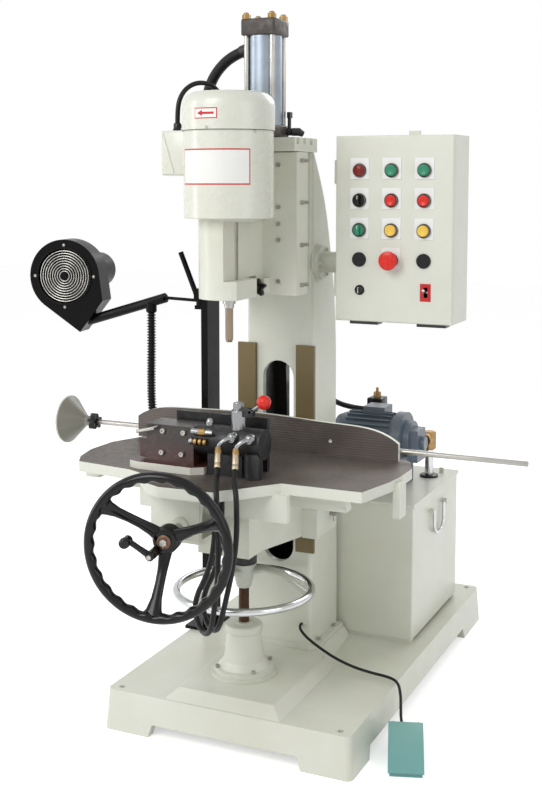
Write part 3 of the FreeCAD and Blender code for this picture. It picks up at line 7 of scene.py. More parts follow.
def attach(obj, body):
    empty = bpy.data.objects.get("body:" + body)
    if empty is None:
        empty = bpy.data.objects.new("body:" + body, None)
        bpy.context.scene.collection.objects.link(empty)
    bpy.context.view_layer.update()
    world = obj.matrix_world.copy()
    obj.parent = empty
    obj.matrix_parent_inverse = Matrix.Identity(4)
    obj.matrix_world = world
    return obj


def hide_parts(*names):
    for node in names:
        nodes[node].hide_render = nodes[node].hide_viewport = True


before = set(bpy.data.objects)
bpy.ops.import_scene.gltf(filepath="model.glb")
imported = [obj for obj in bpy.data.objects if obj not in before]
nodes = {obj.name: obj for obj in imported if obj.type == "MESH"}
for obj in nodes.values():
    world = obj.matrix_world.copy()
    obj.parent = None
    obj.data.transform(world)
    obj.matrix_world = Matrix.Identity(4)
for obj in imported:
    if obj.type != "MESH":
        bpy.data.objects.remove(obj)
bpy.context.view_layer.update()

MM = 0.001


# ---------------------------------------------------------------- finishes
def tint(red, green, blue):
    """A paint colour named on the 0 to 255 scale, as the shader wants it."""
    return [((c / 255 + 0.055) / 1.055) ** 2.4 if c > 10 else c / 3295 for c in (red, green, blue)]


class Finish:
    """One procedural material; every pattern reads the piece's own object coordinates, in metres."""

    def __init__(self, name, color, rough, metal=0.0, **sockets):
        self.material = bpy.data.materials.new(name)
        self.material.use_nodes = True
        self.tree = self.material.node_tree
        self.shader = self.tree.nodes["Principled BSDF"]
        self.color = (*color, 1)
        self.feed(self.shader, {"Base Color": self.color, "Roughness": rough, "Metallic": metal})
        self.feed(self.shader, {key.replace("_", " "): value for key, value in sockets.items()})
        self.object = self.add("TexCoord").outputs["Object"]
        self.normal = None

    def feed(self, node, inputs):
        for key, value in inputs.items():
            if isinstance(value, bpy.types.NodeSocket):
                self.tree.links.new(value, node.inputs[key])
            else:
                node.inputs[key].default_value = value

    def add(self, kind, inputs=None, **settings):
        node = self.tree.nodes.new("ShaderNode" + kind)
        for key, value in settings.items():
            setattr(node, key, value)
        self.feed(node, inputs or {})
        return node

    def place(self, scale=(1, 1, 1), turn=(0, 0, 0)):
        mapping = self.add("Mapping", {"Vector": self.object, "Scale": scale, "Rotation": turn})
        return mapping.outputs["Vector"]

    def noise(self, scale, detail=3.0, rough=0.55, place=None):
        return self.add("TexNoise", {"Vector": place or self.object, "Scale": scale, "Detail": detail,
                                     "Roughness": rough}).outputs["Fac"]

    def span(self, value, low, high, to_low=0.0, to_high=1.0):
        return self.add("MapRange", {"Value": value, "From Min": low, "From Max": high, "To Min": to_low,
                                     "To Max": to_high}).outputs["Result"]

    def math(self, operation, a, b=0.0):
        node = self.add("Math", operation=operation)
        self.feed(node, {0: a, 1: b})
        return node.outputs[0]

    def blend(self, share, a, b):
        node = self.add("Mix", data_type="RGBA")
        self.feed(node, {0: share, 6: a, 7: b})
        return node.outputs[2]

    def axis(self, name, vector=None):
        return self.add("SeparateXYZ", {0: vector or self.object}).outputs[name]

    def clouded(self, soiled):
        """The finish's own colour, faintly soiled in slow clouds."""
        return self.blend(self.span(self.noise(3.2, 5.0, 0.6), 0.38, 0.72), self.color, soiled)

    def paint(self, color):
        self.feed(self.shader, {"Base Color": color})

    def rough(self, value):
        self.feed(self.shader, {"Roughness": value})

    def bump(self, height, strength, distance):
        inputs = {"Height": height, "Strength": strength, "Distance": distance}
        if self.normal is not None:
            inputs["Normal"] = self.normal
        self.normal = self.add("Bump", inputs).outputs["Normal"]
        self.feed(self.shader, {"Normal": self.normal})

    def round_off(self, radius):
        self.normal = self.add("Bevel", {"Radius": radius}, samples=4).outputs["Normal"]
        self.feed(self.shader, {"Normal": self.normal})


def enamel(name, color, rough=0.36, grime=0.10, edge=0.0022, peel=0.12, coat=0.25, shine=0.5):
    """Sprayed machine enamel over a filled casting: slight peel, faint soiling, soft edges."""
    f = Finish(name, color, rough, Coat_Weight=coat, Coat_Roughness=0.25, Specular_IOR_Level=shine)
    f.paint(f.clouded([c * (1 - grime) * w for c, w in zip(color, (1.0, 0.985, 0.93))] + [1]))
    f.rough(f.span(f.noise(18.0, 4.0), 0.3, 0.7, rough - 0.05, rough + 0.09))
    if edge:
        f.round_off(edge)
    f.bump(f.noise(24.0, 3.0, 0.6), 0.10, 0.004)
    f.bump(f.noise(620.0, 2.0), peel, 0.0004)
    return f.material


def turned_metal(name, color, rough, stretch=(1, 1, 1), scratch=0.25):
    """Bare machined metal with fine tool marks drawn out along one direction."""
    f = Finish(name, color, rough, 1.0)
    marks = f.noise(900.0, 3.0, 0.6, f.place(stretch))
    f.rough(f.span(marks, 0.3, 0.7, rough - 0.08, rough + 0.12))
    stain = [c * 0.72 for c in color] + [1]
    f.paint(f.blend(f.span(f.noise(9.0, 4.0), 0.45, 0.75), f.color, stain))
    f.bump(marks, scratch, 0.0003)
    return f.material


def plastic(name, color, rough=0.28, grain=0.06, shine=0.32):
    f = Finish(name, color, rough, Specular_IOR_Level=shine)
    worn = [min(1.0, c * 1.18 + 0.004) for c in color] + [1]
    f.paint(f.blend(f.span(f.noise(60.0, 3.0), 0.5, 0.75), f.color, worn))
    f.rough(f.span(f.noise(160.0, 3.0), 0.3, 0.7, rough - 0.04, rough + 0.08))
    f.bump(f.noise(900.0, 2.0), grain, 0.0003)
    return f.material


def rubber(name, color, rough):
    f = Finish(name, color, rough, Specular_IOR_Level=0.25)
    dusty = [c * 1.9 + 0.006 for c in color] + [1]
    f.paint(f.blend(f.span(f.noise(22.0, 4.0), 0.5, 0.8), f.color, dusty))
    f.rough(f.span(f.noise(90.0, 3.0), 0.3, 0.7, rough - 0.1, rough + 0.12))
    f.bump(f.noise(1400.0, 2.0), 0.25, 0.0003)
    return f.material


def rough_iron(name, color, rough, metal):
    """Blackened iron with a sandy cast skin and brighter rubbed patches."""
    f = Finish(name, color, rough, metal)
    rubbed = [c * 2.1 + 0.01 for c in color] + [1]
    f.paint(f.blend(f.span(f.noise(45.0, 5.0, 0.65), 0.52, 0.74), f.color, rubbed))
    f.rough(f.span(f.noise(70.0, 4.0), 0.3, 0.7, rough - 0.14, rough + 0.16))
    f.round_off(0.001)
    f.bump(f.noise(420.0, 3.0, 0.6), 0.3, 0.0006)
    return f.material


cast_tint = tint(220, 222, 210)
sheet_tint = tint(221, 223, 211)
ivory = enamel("ivory_enamel", cast_tint)
ivory_sheet = enamel("ivory_sheet_enamel", sheet_tint, 0.34, 0.07, 0.0016, 0.2)
motor_ivory = enamel("motor_ivory_enamel", tint(219, 221, 210), 0.26, 0.05, 0.0015)
spoke_paint = enamel("spoke_grey_enamel", tint(196, 199, 190), 0.34, 0.10)
black_enamel = enamel("black_enamel", tint(9, 9, 9), 0.14, 0.0, 0.0012, 0.06, 0.0, 0.3)
blower_black = enamel("blower_black_enamel", tint(9, 9, 9), 0.28, 0.0, 0.0012, 0.06, 0.0, 0.12)
teal = enamel("teal_enamel", tint(112, 168, 166), 0.42, 0.10, 0.0015, 0.4)
pump_blue = enamel("pump_blue_enamel", tint(92, 104, 118), 0.38, 0.22)
valve_green = enamel("valve_dark_green", tint(52, 62, 56), 0.4, 0.25)
bright_steel = turned_metal("bright_steel", tint(178, 176, 170), 0.3)
drill_steel = turned_metal("drill_steel", tint(140, 126, 110), 0.34)
chrome = turned_metal("bright_chrome", tint(206, 207, 208), 0.13, scratch=0.03)
# painted reflection: the fittings' chrome is darkened to stand for the dark surroundings it reflects
fitting_chrome_painted_reflection = turned_metal("fitting_chrome_painted_reflection", tint(150, 151, 153), 0.22, scratch=0.0)
tube_blue = turned_metal("cylinder_tube_blue", tint(150, 160, 170), 0.36, (1, 1, 0.04))
brass = turned_metal("fitting_brass", tint(168, 138, 92), 0.34)
bronze = turned_metal("hub_bronze", tint(118, 92, 76), 0.38)
screw_brown = turned_metal("oiled_screw_thread", tint(78, 58, 46), 0.42)
black_rubber = rubber("hose_black_rubber", tint(16, 16, 16), 0.42)
cable_black = rubber("cable_black_sheath", tint(14, 14, 14), 0.34)
black_plastic = plastic("black_plastic", tint(15, 15, 16), 0.2)
plate_white = enamel("plate_white", tint(236, 236, 234), 0.36, 0.03, 0.0, 0.04, 0.0)
trim_red = plastic("trim_red", tint(196, 44, 46), 0.35)
seam_dark = plastic("seam_dark", tint(96, 96, 92), 0.5)
cone_grey = enamel("cone_grey_enamel", tint(130, 128, 118), 0.4, 0.2, 0.0012)
rim_pale = enamel("cone_rim_pale", tint(206, 204, 196), 0.36, 0.1, 0.0008)
ferrule_beige = turned_metal("ferrule_beige_steel", tint(176, 164, 142), 0.4)
pilot_red = plastic("pilot_dark_red", tint(122, 30, 24), 0.16)
red_plastic = plastic("red_plastic", tint(216, 44, 34), 0.24)
green_plastic = plastic("green_plastic", tint(52, 140, 108))
yellow_plastic = plastic("yellow_plastic", tint(240, 198, 84))
cap_black = rough_iron("cap_black_iron", tint(34, 34, 35), 0.44, 0.2)
cap_brown = rough_iron("cap_brown_iron", tint(64, 58, 54), 0.5, 0.2)
gunmetal = turned_metal("bezel_gunmetal", tint(104, 102, 98), 0.28, scratch=0.05)


def ground_ribs(f, scale, distortion, direction):
    """The fine parallel marks that grinding leaves."""
    wave = f.add("TexWave", {"Vector": f.object, "Scale": scale, "Distortion": distortion, "Detail": 2.0,
                             "Detail Scale": 3.0}, wave_type="BANDS", bands_direction=direction)
    return wave.outputs["Fac"]


def grind(f, where, ribs, cloud, pale, dull, depth):
    """Dark, ribbed and partly metallic where the mask is 1; enamelled elsewhere."""
    dark = f.blend(f.span(cloud, 0.35, 0.7), (*pale, 1), (*dull, 1))
    dark = f.blend(f.span(ribs, 0.2, 0.8, 0.0, 0.35), dark, (*tint(70, 62, 58), 1))
    f.paint(f.blend(where, (*cast_tint, 1), dark))
    f.feed(f.shader, {"Metallic": f.math("MULTIPLY", where, 0.35)})
    f.rough(f.span(f.noise(60.0, 3.0), 0.3, 0.7, 0.34, 0.5))
    f.bump(f.math("MULTIPLY", ribs, where), depth, 0.0006)


def machined_table():
    """The top is ground; every other face of the casting is enamelled."""
    f = Finish("table_ground_and_enamel", tint(112, 104, 98), 0.42)
    just_under_top = 0.7345
    up = f.axis("Z", f.add("NewGeometry").outputs["Normal"])
    high = f.math("GREATER_THAN", f.axis("Z"), just_under_top)
    ground = f.math("MULTIPLY", f.math("GREATER_THAN", up, 0.7), high)
    grind(f, ground, ground_ribs(f, 38.0, 0.7, "Y"), f.noise(5.0, 5.0, 0.6), tint(116, 108, 102),
          tint(86, 78, 72), 0.35)
    f.bump(f.noise(500.0, 2.0), 0.1, 0.0004)
    return f.material


def fence_face():
    """The front is ground; the back is enamelled."""
    f = Finish("fence_ground_and_enamel", tint(112, 104, 98), 0.4)
    just_behind_front = -0.2476
    front = f.math("LESS_THAN", f.axis("Y"), just_behind_front)
    grind(f, front, ground_ribs(f, 44.0, 0.6, "Z"), f.noise(6.0, 5.0), tint(114, 106, 101),
          tint(88, 80, 74), 0.3)
    return f.material


def scraped_way():
    """Oiled slideway with the crossed strokes of a hand scraper."""
    f = Finish("scraped_way", tint(112, 98, 66), 0.4, 0.35)
    slanted = f.place(turn=(0, radians(38), 0))
    wave = f.add("TexWave", {"Vector": slanted, "Scale": 70.0, "Distortion": 2.0, "Detail": 3.0,
                             "Detail Scale": 2.2}, wave_type="BANDS", bands_direction="X")
    strokes = wave.outputs["Fac"]
    f.paint(f.blend(f.span(strokes, 0.25, 0.85), (*tint(104, 90, 60), 1), (*tint(122, 107, 72), 1)))
    f.rough(f.span(strokes, 0.0, 1.0, 0.28, 0.5))
    f.bump(strokes, 0.3, 0.0006)
    return f.material


def column_paint_and_shade():
    """Enamel outside; the bare cavity behind the window is painted almost black, as painted shade."""
    f = Finish("column_enamel_and_cavity", cast_tint, 0.36, Coat_Weight=0.25, Coat_Roughness=0.25)
    left, right, front, wall = -0.132, 0.072, -0.193, 0.0195
    across = f.math("MULTIPLY", f.math("GREATER_THAN", f.axis("X"), left + wall),
                    f.math("LESS_THAN", f.axis("X"), right - wall))
    behind = f.math("GREATER_THAN", f.axis("Y"), front + wall)
    facing = f.math("LESS_THAN", f.axis("Y", f.add("NewGeometry").outputs["Normal"]), 0.3)
    cavity_shade = f.math("MULTIPLY", f.math("MULTIPLY", across, behind), facing)
    # painted shade: the faces inside the hollow, behind the window, are painted almost black
    f.paint(f.blend(cavity_shade, f.clouded((*tint(210, 211, 196), 1)), (*tint(34, 31, 28), 1)))
    f.rough(f.span(f.noise(18.0, 4.0), 0.3, 0.7, 0.31, 0.45))
    f.round_off(0.0022)
    f.bump(f.noise(24.0, 3.0, 0.6), 0.10, 0.004)
    f.bump(f.noise(620.0, 2.0), 0.12, 0.0004)
    return f.material


def sheet_paint(name, axis, limit, other):
    """Sheet enamel, but for what lies below the limit on that axis: the white plates or the black feet."""
    f = Finish(name, sheet_tint, 0.34, Coat_Weight=0.25, Coat_Roughness=0.25)
    apart = f.math("LESS_THAN", f.axis(axis), limit)
    f.paint(f.blend(apart, f.clouded((*tint(213, 214, 200), 1)), (*other, 1)))
    f.rough(f.span(f.noise(18.0, 4.0), 0.3, 0.7, 0.3, 0.44))
    f.round_off(0.0016)
    f.bump(f.noise(620.0, 2.0), 0.2, 0.0004)
    return f.material


def clamp_paint():
    """Oiled iron block, redder low down, on an enamelled slab."""
    f = Finish("clamp_iron_on_enamel", tint(58, 46, 40), 0.42, Coat_Weight=0.3, Coat_Roughness=0.3)
    slab_top, red_below, black_above = 0.7549, 0.770, 0.835
    height = f.span(f.axis("Z"), red_below, black_above)
    iron = f.blend(height, (*tint(70, 38, 32), 1), (*tint(42, 38, 35), 1))
    iron = f.blend(f.span(f.noise(45.0, 5.0, 0.65), 0.5, 0.74), iron, (*tint(84, 68, 60), 1))
    f.paint(f.blend(f.math("LESS_THAN", f.axis("Z"), slab_top), iron, (*tint(214, 214, 202), 1)))
    f.rough(f.span(f.noise(70.0, 4.0), 0.3, 0.7, 0.3, 0.5))
    f.round_off(0.0012)
    f.bump(f.noise(420.0, 3.0, 0.6), 0.2, 0.0005)
    return f.material


table_mix = machined_table()
fence_mix = fence_face()
way_brown = scraped_way()
column_mix = column_paint_and_shade()
plates_back, box_underside = -0.2255, 1.1145
door_mix = sheet_paint("door_enamel_and_plates", "Y", plates_back, tint(238, 238, 236))
shell_mix = sheet_paint("box_enamel_and_feet", "Z", box_underside, tint(24, 24, 24))
clamp_mix = clamp_paint()

node_finish = {
    "base_casting": ivory, "column_casting": column_mix, "way_strips": way_brown, "screw_pedestal": ivory,
    "frame_bolts": bright_steel, "cylinder_barrel": tube_blue, "cylinder_caps": cap_black,
    "cylinder_fittings": cap_black, "tank_body": ivory_sheet, "pump_motor": pump_blue, "tank_fittings": brass,
    "control_arm": ivory, "box_shell": shell_mix, "blower_post": blower_black, "footswitch_body": teal,
    "head_slide": ivory, "motor_housing": motor_ivory, "head_screws": bright_steel, "spindle": bright_steel,
    "mortise_bit": drill_steel, "depth_stop_knob": black_plastic, "knee_casting": ivory,
    "elevating_screw": screw_brown, "elevating_wheel": chrome, "knee_lock_screw": bright_steel,
    "table_casting": table_mix, "fence": fence_mix, "clamp_base": clamp_mix, "clamp_cylinder": cap_black,
    "clamp_fittings": brass, "feed_handwheel": black_enamel, "folding_handle": black_plastic,
    "clamp_jaw": cap_black, "valve_lever": red_plastic, "stop_rod": bright_steel, "blower_head": blower_black,
    "blower_nozzle": black_plastic, "blower_impeller": cap_black, "box_door": door_mix,
    "control_rings": chrome, "button_green_left": green_plastic, "button_green_right": green_plastic,
    "button_red_left": red_plastic, "button_red_right": red_plastic, "button_yellow_left": yellow_plastic,
    "button_yellow_right": yellow_plastic, "emergency_stop": red_plastic, "selector_black": black_plastic,
    "selector_green": green_plastic, "key_lock": chrome, "toggle_lever": chrome, "foot_pedal": teal,
    "tank_handle": chrome, "cylinder_hose": black_rubber, "motor_cable": cable_black,
    "pressure_hose": black_rubber, "clamp_hose_left": black_rubber, "clamp_hose_right": black_rubber,
    "blower_hose": black_rubber, "pedal_cable": cable_black,
}


def dress_nodes():
    """Gives every carried-over solid its finish and smooth shading across its curved faces."""
    for name, finish in node_finish.items():
        solid = nodes[name]
        for slot in solid.material_slots:
            slot.material = finish
        solid.data.shade_smooth()
        weld = solid.modifiers.new("weld", "WELD")
        weld.merge_threshold = 0.00001
        split = solid.modifiers.new("crease", "EDGE_SPLIT")
        split.split_angle = radians(32)


# ---------------------------------------------------------------- shapes, in millimetres
def soften(bm, width, segments=2, angle=30):
    edges = [e for e in bm.edges if len(e.link_faces) == 2 and e.calc_face_angle(0) > radians(angle)]
    bmesh.ops.bevel(bm, geom=edges, offset=width, offset_type="OFFSET", segments=segments, profile=0.5,
                    affect="EDGES", clamp_overlap=True, material=-1)
    return bm


def lathe(profile, steps=64):
    """A profile of (radius, height) pairs turned about Z."""
    bm = bmesh.new()
    verts = [bm.verts.new((r, 0, z)) for r, z in profile]
    edges = [bm.edges.new(pair) for pair in zip(verts, verts[1:])]
    bmesh.ops.spin(bm, geom=verts + edges, cent=(0, 0, 0), axis=(0, 0, 1), angle=2 * pi, steps=steps,
                   use_merge=True)
    bmesh.ops.remove_doubles(bm, verts=bm.verts, dist=0.001)
    return bm


def half_round(r, steps=30):
    """The profile of a ball, from its lower pole to its upper one."""
    turns = [radians(-90 + 180 * i / steps) for i in range(steps + 1)]
    return [(max(0.0, r * cos(a)), r * sin(a)) for a in turns]


def ring(radius, section, steps=96, sides=20):
    """A torus: a circle of that section spun about Z."""
    bm = bmesh.new()
    circle = bmesh.ops.create_circle(bm, segments=sides, radius=section)["verts"]
    bmesh.ops.rotate(bm, verts=circle, cent=(0, 0, 0), matrix=Matrix.Rotation(pi / 2, 3, "X"))
    bmesh.ops.translate(bm, verts=circle, vec=(radius, 0, 0))
    bmesh.ops.spin(bm, geom=bm.verts[:] + bm.edges[:], cent=(0, 0, 0), axis=(0, 0, 1), angle=2 * pi,
                   steps=steps, use_merge=True)
    bmesh.ops.remove_doubles(bm, verts=bm.verts, dist=0.001)
    return bm


def block(x0, x1, y0, y1, z0, z1, edge=1.0, segments=2):
    bm = bmesh.new()
    bmesh.ops.create_cube(bm, size=1)
    bmesh.ops.scale(bm, verts=bm.verts, vec=(x1 - x0, y1 - y0, z1 - z0))
    bmesh.ops.translate(bm, verts=bm.verts, vec=((x0 + x1) / 2, (y0 + y1) / 2, (z0 + z1) / 2))
    return soften(bm, edge, segments) if edge else bm


def bar(p, q, r, r2=None, steps=28, edge=0.0):
    p, q = Vector(p), Vector(q)
    bm = bmesh.new()
    bmesh.ops.create_cone(bm, cap_ends=True, segments=steps, radius1=r, radius2=r if r2 is None else r2,
                          depth=(q - p).length)
    if edge:
        soften(bm, edge)
    bm.transform(Matrix.Translation((p + q) / 2) @ (q - p).to_track_quat("Z", "Y").to_matrix().to_4x4())
    return bm


def hex_head(r, h, chamfer=0.8):
    bm = bar((0, 0, 0), (0, 0, h), r, steps=6)
    return soften(bm, chamfer, 1)


def raise_faces(bm, faces, height):
    raised = bmesh.ops.extrude_face_region(bm, geom=faces)["geom"]
    verts = [v for v in raised if isinstance(v, bmesh.types.BMVert)]
    bmesh.ops.translate(bm, verts=verts, vec=(0, 0, height))


def slab(outline, z0, z1, edge=0.0, segments=2):
    """A flat outline of (x, y) pairs raised along Z."""
    bm = bmesh.new()
    face = bm.faces.new([bm.verts.new((x, y, z0)) for x, y in outline])
    raise_faces(bm, [face], z1 - z0)
    bmesh.ops.recalc_face_normals(bm, faces=bm.faces)
    return soften(bm, edge, segments) if edge else bm


def lobed(radius, depth, count, steps=60):
    """The outline of a star knob, its lobes worked out by a cosine."""
    turns = [2 * pi * i / steps for i in range(steps)]
    return [((radius + depth * cos(count * a)) * cos(a), (radius + depth * cos(count * a)) * sin(a))
            for a in turns]


def star(r, depth, h, edge=2.4):
    return slab(lobed(r, depth, 5), 0, h, edge, 3)


def sweep(line, widths, depths=None, sides=16, up=(0, 0, 1)):
    """Ellipses threaded along a line of points and bridged into one closed skin."""
    line = [Vector(p) for p in line]
    depths = depths or widths
    bm = bmesh.new()
    before = None
    last = len(line) - 1
    for i, at in enumerate(line):
        way = (line[min(i + 1, last)] - line[max(i - 1, 0)]).normalized()
        side = way.cross(Vector(up)).normalized()
        over = side.cross(way)
        circle = bmesh.ops.create_circle(bm, segments=sides, radius=1)["verts"]
        loop = list({e for v in circle for e in v.link_edges})
        turn = Matrix((side * widths[i], over * depths[i], way)).transposed().to_4x4()
        bmesh.ops.transform(bm, matrix=Matrix.Translation(at) @ turn, verts=circle)
        if before:
            bmesh.ops.bridge_loops(bm, edges=before + loop)
        else:
            bm.faces.new(circle)
        before = loop
    bm.faces.new(circle)
    bmesh.ops.recalc_face_normals(bm, faces=bm.faces)
    return bm


def wrap(radius, turn, width, z0, z1, lift=0.6, outline=None):
    """A thin plate bent round Z, centred on the angle turn; width is measured along the bend."""
    bm = bmesh.new()
    if outline:
        face = bm.faces.new([bm.verts.new((x, y, 0)) for x, y in outline])
        bmesh.ops.triangulate(bm, faces=[face])
        bmesh.ops.subdivide_edges(bm, edges=bm.edges[:], cuts=6, use_grid_fill=True)
    else:
        bmesh.ops.create_grid(bm, x_segments=32, y_segments=1, size=0.5)
    raise_faces(bm, bm.faces[:], 1)
    for v in bm.verts:
        angle = radians(turn) + v.co.x * width / radius
        reach = radius - 0.6 + v.co.z * (lift + 0.6)
        height = z0 + (v.co.y + 0.5) * (z1 - z0)
        v.co = (reach * cos(angle), reach * sin(angle), height)
    bmesh.ops.recalc_face_normals(bm, faces=bm.faces)
    return bm


def seat(at, out, up):
    """A placing whose Z runs along out and whose Y leans towards up."""
    z = Vector(out).normalized()
    x = Vector(up).cross(z).normalized()
    y = z.cross(x)
    turn = Matrix((x, y, z)).transposed().to_4x4()
    return Matrix.Translation(Vector(at)) @ turn


def shift(x, y, z=0):
    return Matrix.Translation((x, y, z))


class Piece:
    """A mesh drawn in millimetres from several shapes, then kept in metres on its body."""

    def __init__(self, name, body, slot, *finishes):
        self.name, self.body, self.slot, self.finishes = name, body, slot, finishes
        self.bm = bmesh.new()

    def add(self, shape, place=Matrix(), paint=0):
        for face in shape.faces:
            face.material_index = paint
        shape.transform(place)
        if place.determinant() < 0:
            bmesh.ops.reverse_faces(shape, faces=shape.faces)
        mesh = bpy.data.meshes.new("shape")
        shape.to_mesh(mesh)
        shape.free()
        self.bm.from_mesh(mesh)
        bpy.data.meshes.remove(mesh)

    def keep(self, *replaced, place=Matrix(), crease=32):
        bmesh.ops.recalc_face_normals(self.bm, faces=self.bm.faces)
        for face in self.bm.faces:
            face.smooth = True
        self.bm.transform(Matrix.Scale(MM, 4) @ place)
        mesh = bpy.data.meshes.new(self.name)
        self.bm.to_mesh(mesh)
        self.bm.free()
        mesh.set_sharp_from_angle(angle=radians(crease))
        for finish in self.finishes:
            mesh.materials.append(finish)
        piece = bpy.data.objects.new(self.name, mesh)
        bpy.context.scene.collection.objects.link(piece)
        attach(piece, self.body)
        if replaced:
            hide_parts(*replaced)
        return piece


# ---------------------------------------------------------------- camera, light and floor
def set_camera():
    camera = bpy.data.objects.new("camera", bpy.data.cameras.new("camera"))
    bpy.context.scene.collection.objects.link(camera)
    camera.location = (1.3706, -3.3018, 1.5)
    camera.rotation_euler = (radians(90 - 5.69), 0, radians(24.64))
    camera.data.sensor_width = 36
    camera.data.lens = 53.68
    camera.data.shift_y = -0.125
    bpy.context.scene.camera = camera


def set_world():
    """White behind whatever the camera sees, mirrored or straight, and a dimmer white as fill light."""
    world = bpy.data.worlds.new("studio")
    world.use_nodes = True
    bpy.context.scene.world = world
    tree = world.node_tree
    tree.nodes.clear()
    add, link = tree.nodes.new, tree.links.new
    rays = add("ShaderNodeLightPath")
    seen, shiny = add("ShaderNodeMath"), add("ShaderNodeMath")
    seen.operation = shiny.operation = "MAXIMUM"
    link(rays.outputs["Is Camera Ray"], seen.inputs[0])
    link(rays.outputs["Is Glossy Ray"], shiny.inputs[0])
    link(rays.outputs["Is Transmission Ray"], shiny.inputs[1])
    link(shiny.outputs[0], seen.inputs[1])
    mix = add("ShaderNodeMixShader")
    link(seen.outputs[0], mix.inputs[0])
    for socket, strength in ((1, 0.48), (2, 1.0)):
        white = add("ShaderNodeBackground")
        white.inputs["Color"].default_value = (1, 1, 1, 1)
        white.inputs["Strength"].default_value = strength
        link(white.outputs[0], mix.inputs[socket])
    link(mix.outputs[0], add("ShaderNodeOutputWorld").inputs["Surface"])


def set_lamp(name, at, aim, size, watts):
    lamp = bpy.data.objects.new(name, bpy.data.lights.new(name, "AREA"))
    bpy.context.scene.collection.objects.link(lamp)
    lamp.location = at
    lamp.rotation_euler = (Vector(aim) - Vector(at)).to_track_quat("-Z", "Y").to_euler()
    lamp.data.shape = "RECTANGLE"
    lamp.data.size, lamp.data.size_y = size
    lamp.data.energy = watts


def set_floor():
    bm = bmesh.new()
    bmesh.ops.create_grid(bm, x_segments=1, y_segments=1, size=14)
    mesh = bpy.data.meshes.new("studio_floor")
    bm.to_mesh(mesh)
    bm.free()
    floor = bpy.data.objects.new("studio_floor", mesh)
    bpy.context.scene.collection.objects.link(floor)
    f = Finish("studio_floor", (0.93, 0.93, 0.93), 0.9)
    rays = f.add("LightPath")
    seen = f.math("MAXIMUM", rays.outputs["Is Camera Ray"], rays.outputs["Is Glossy Ray"])
    f.feed(f.shader, {"Emission Color": (1, 1, 1, 1), "Emission Strength": f.math("MULTIPLY", seen, 0.5)})
    mesh.materials.append(f.material)


# ---------------------------------------------------------------- cords
def route(name, points, radius):
    """A smooth line through the room along the hose's own points."""
    data = bpy.data.curves.new(name, "CURVE")
    data.dimensions = "3D"
    spline = data.splines.new("NURBS")
    spline.points.add(len(points) - 1)
    for point, at in zip(spline.points, points):
        point.co = (*at, 1)
    spline.order_u = 3
    spline.use_endpoint_u = True
    spline.resolution_u = 12
    data.bevel_depth = radius
    data.bevel_resolution = 5
    data.use_fill_caps = True
    line = bpy.data.objects.new(name, data)
    bpy.context.scene.collection.objects.link(line)
    return line


def lay_cord(name, body, finish, points, diameter):
    cord = route(name + "_run", points, diameter / 2)
    cord.data.materials.append(finish)
    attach(cord, body)
    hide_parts(name)


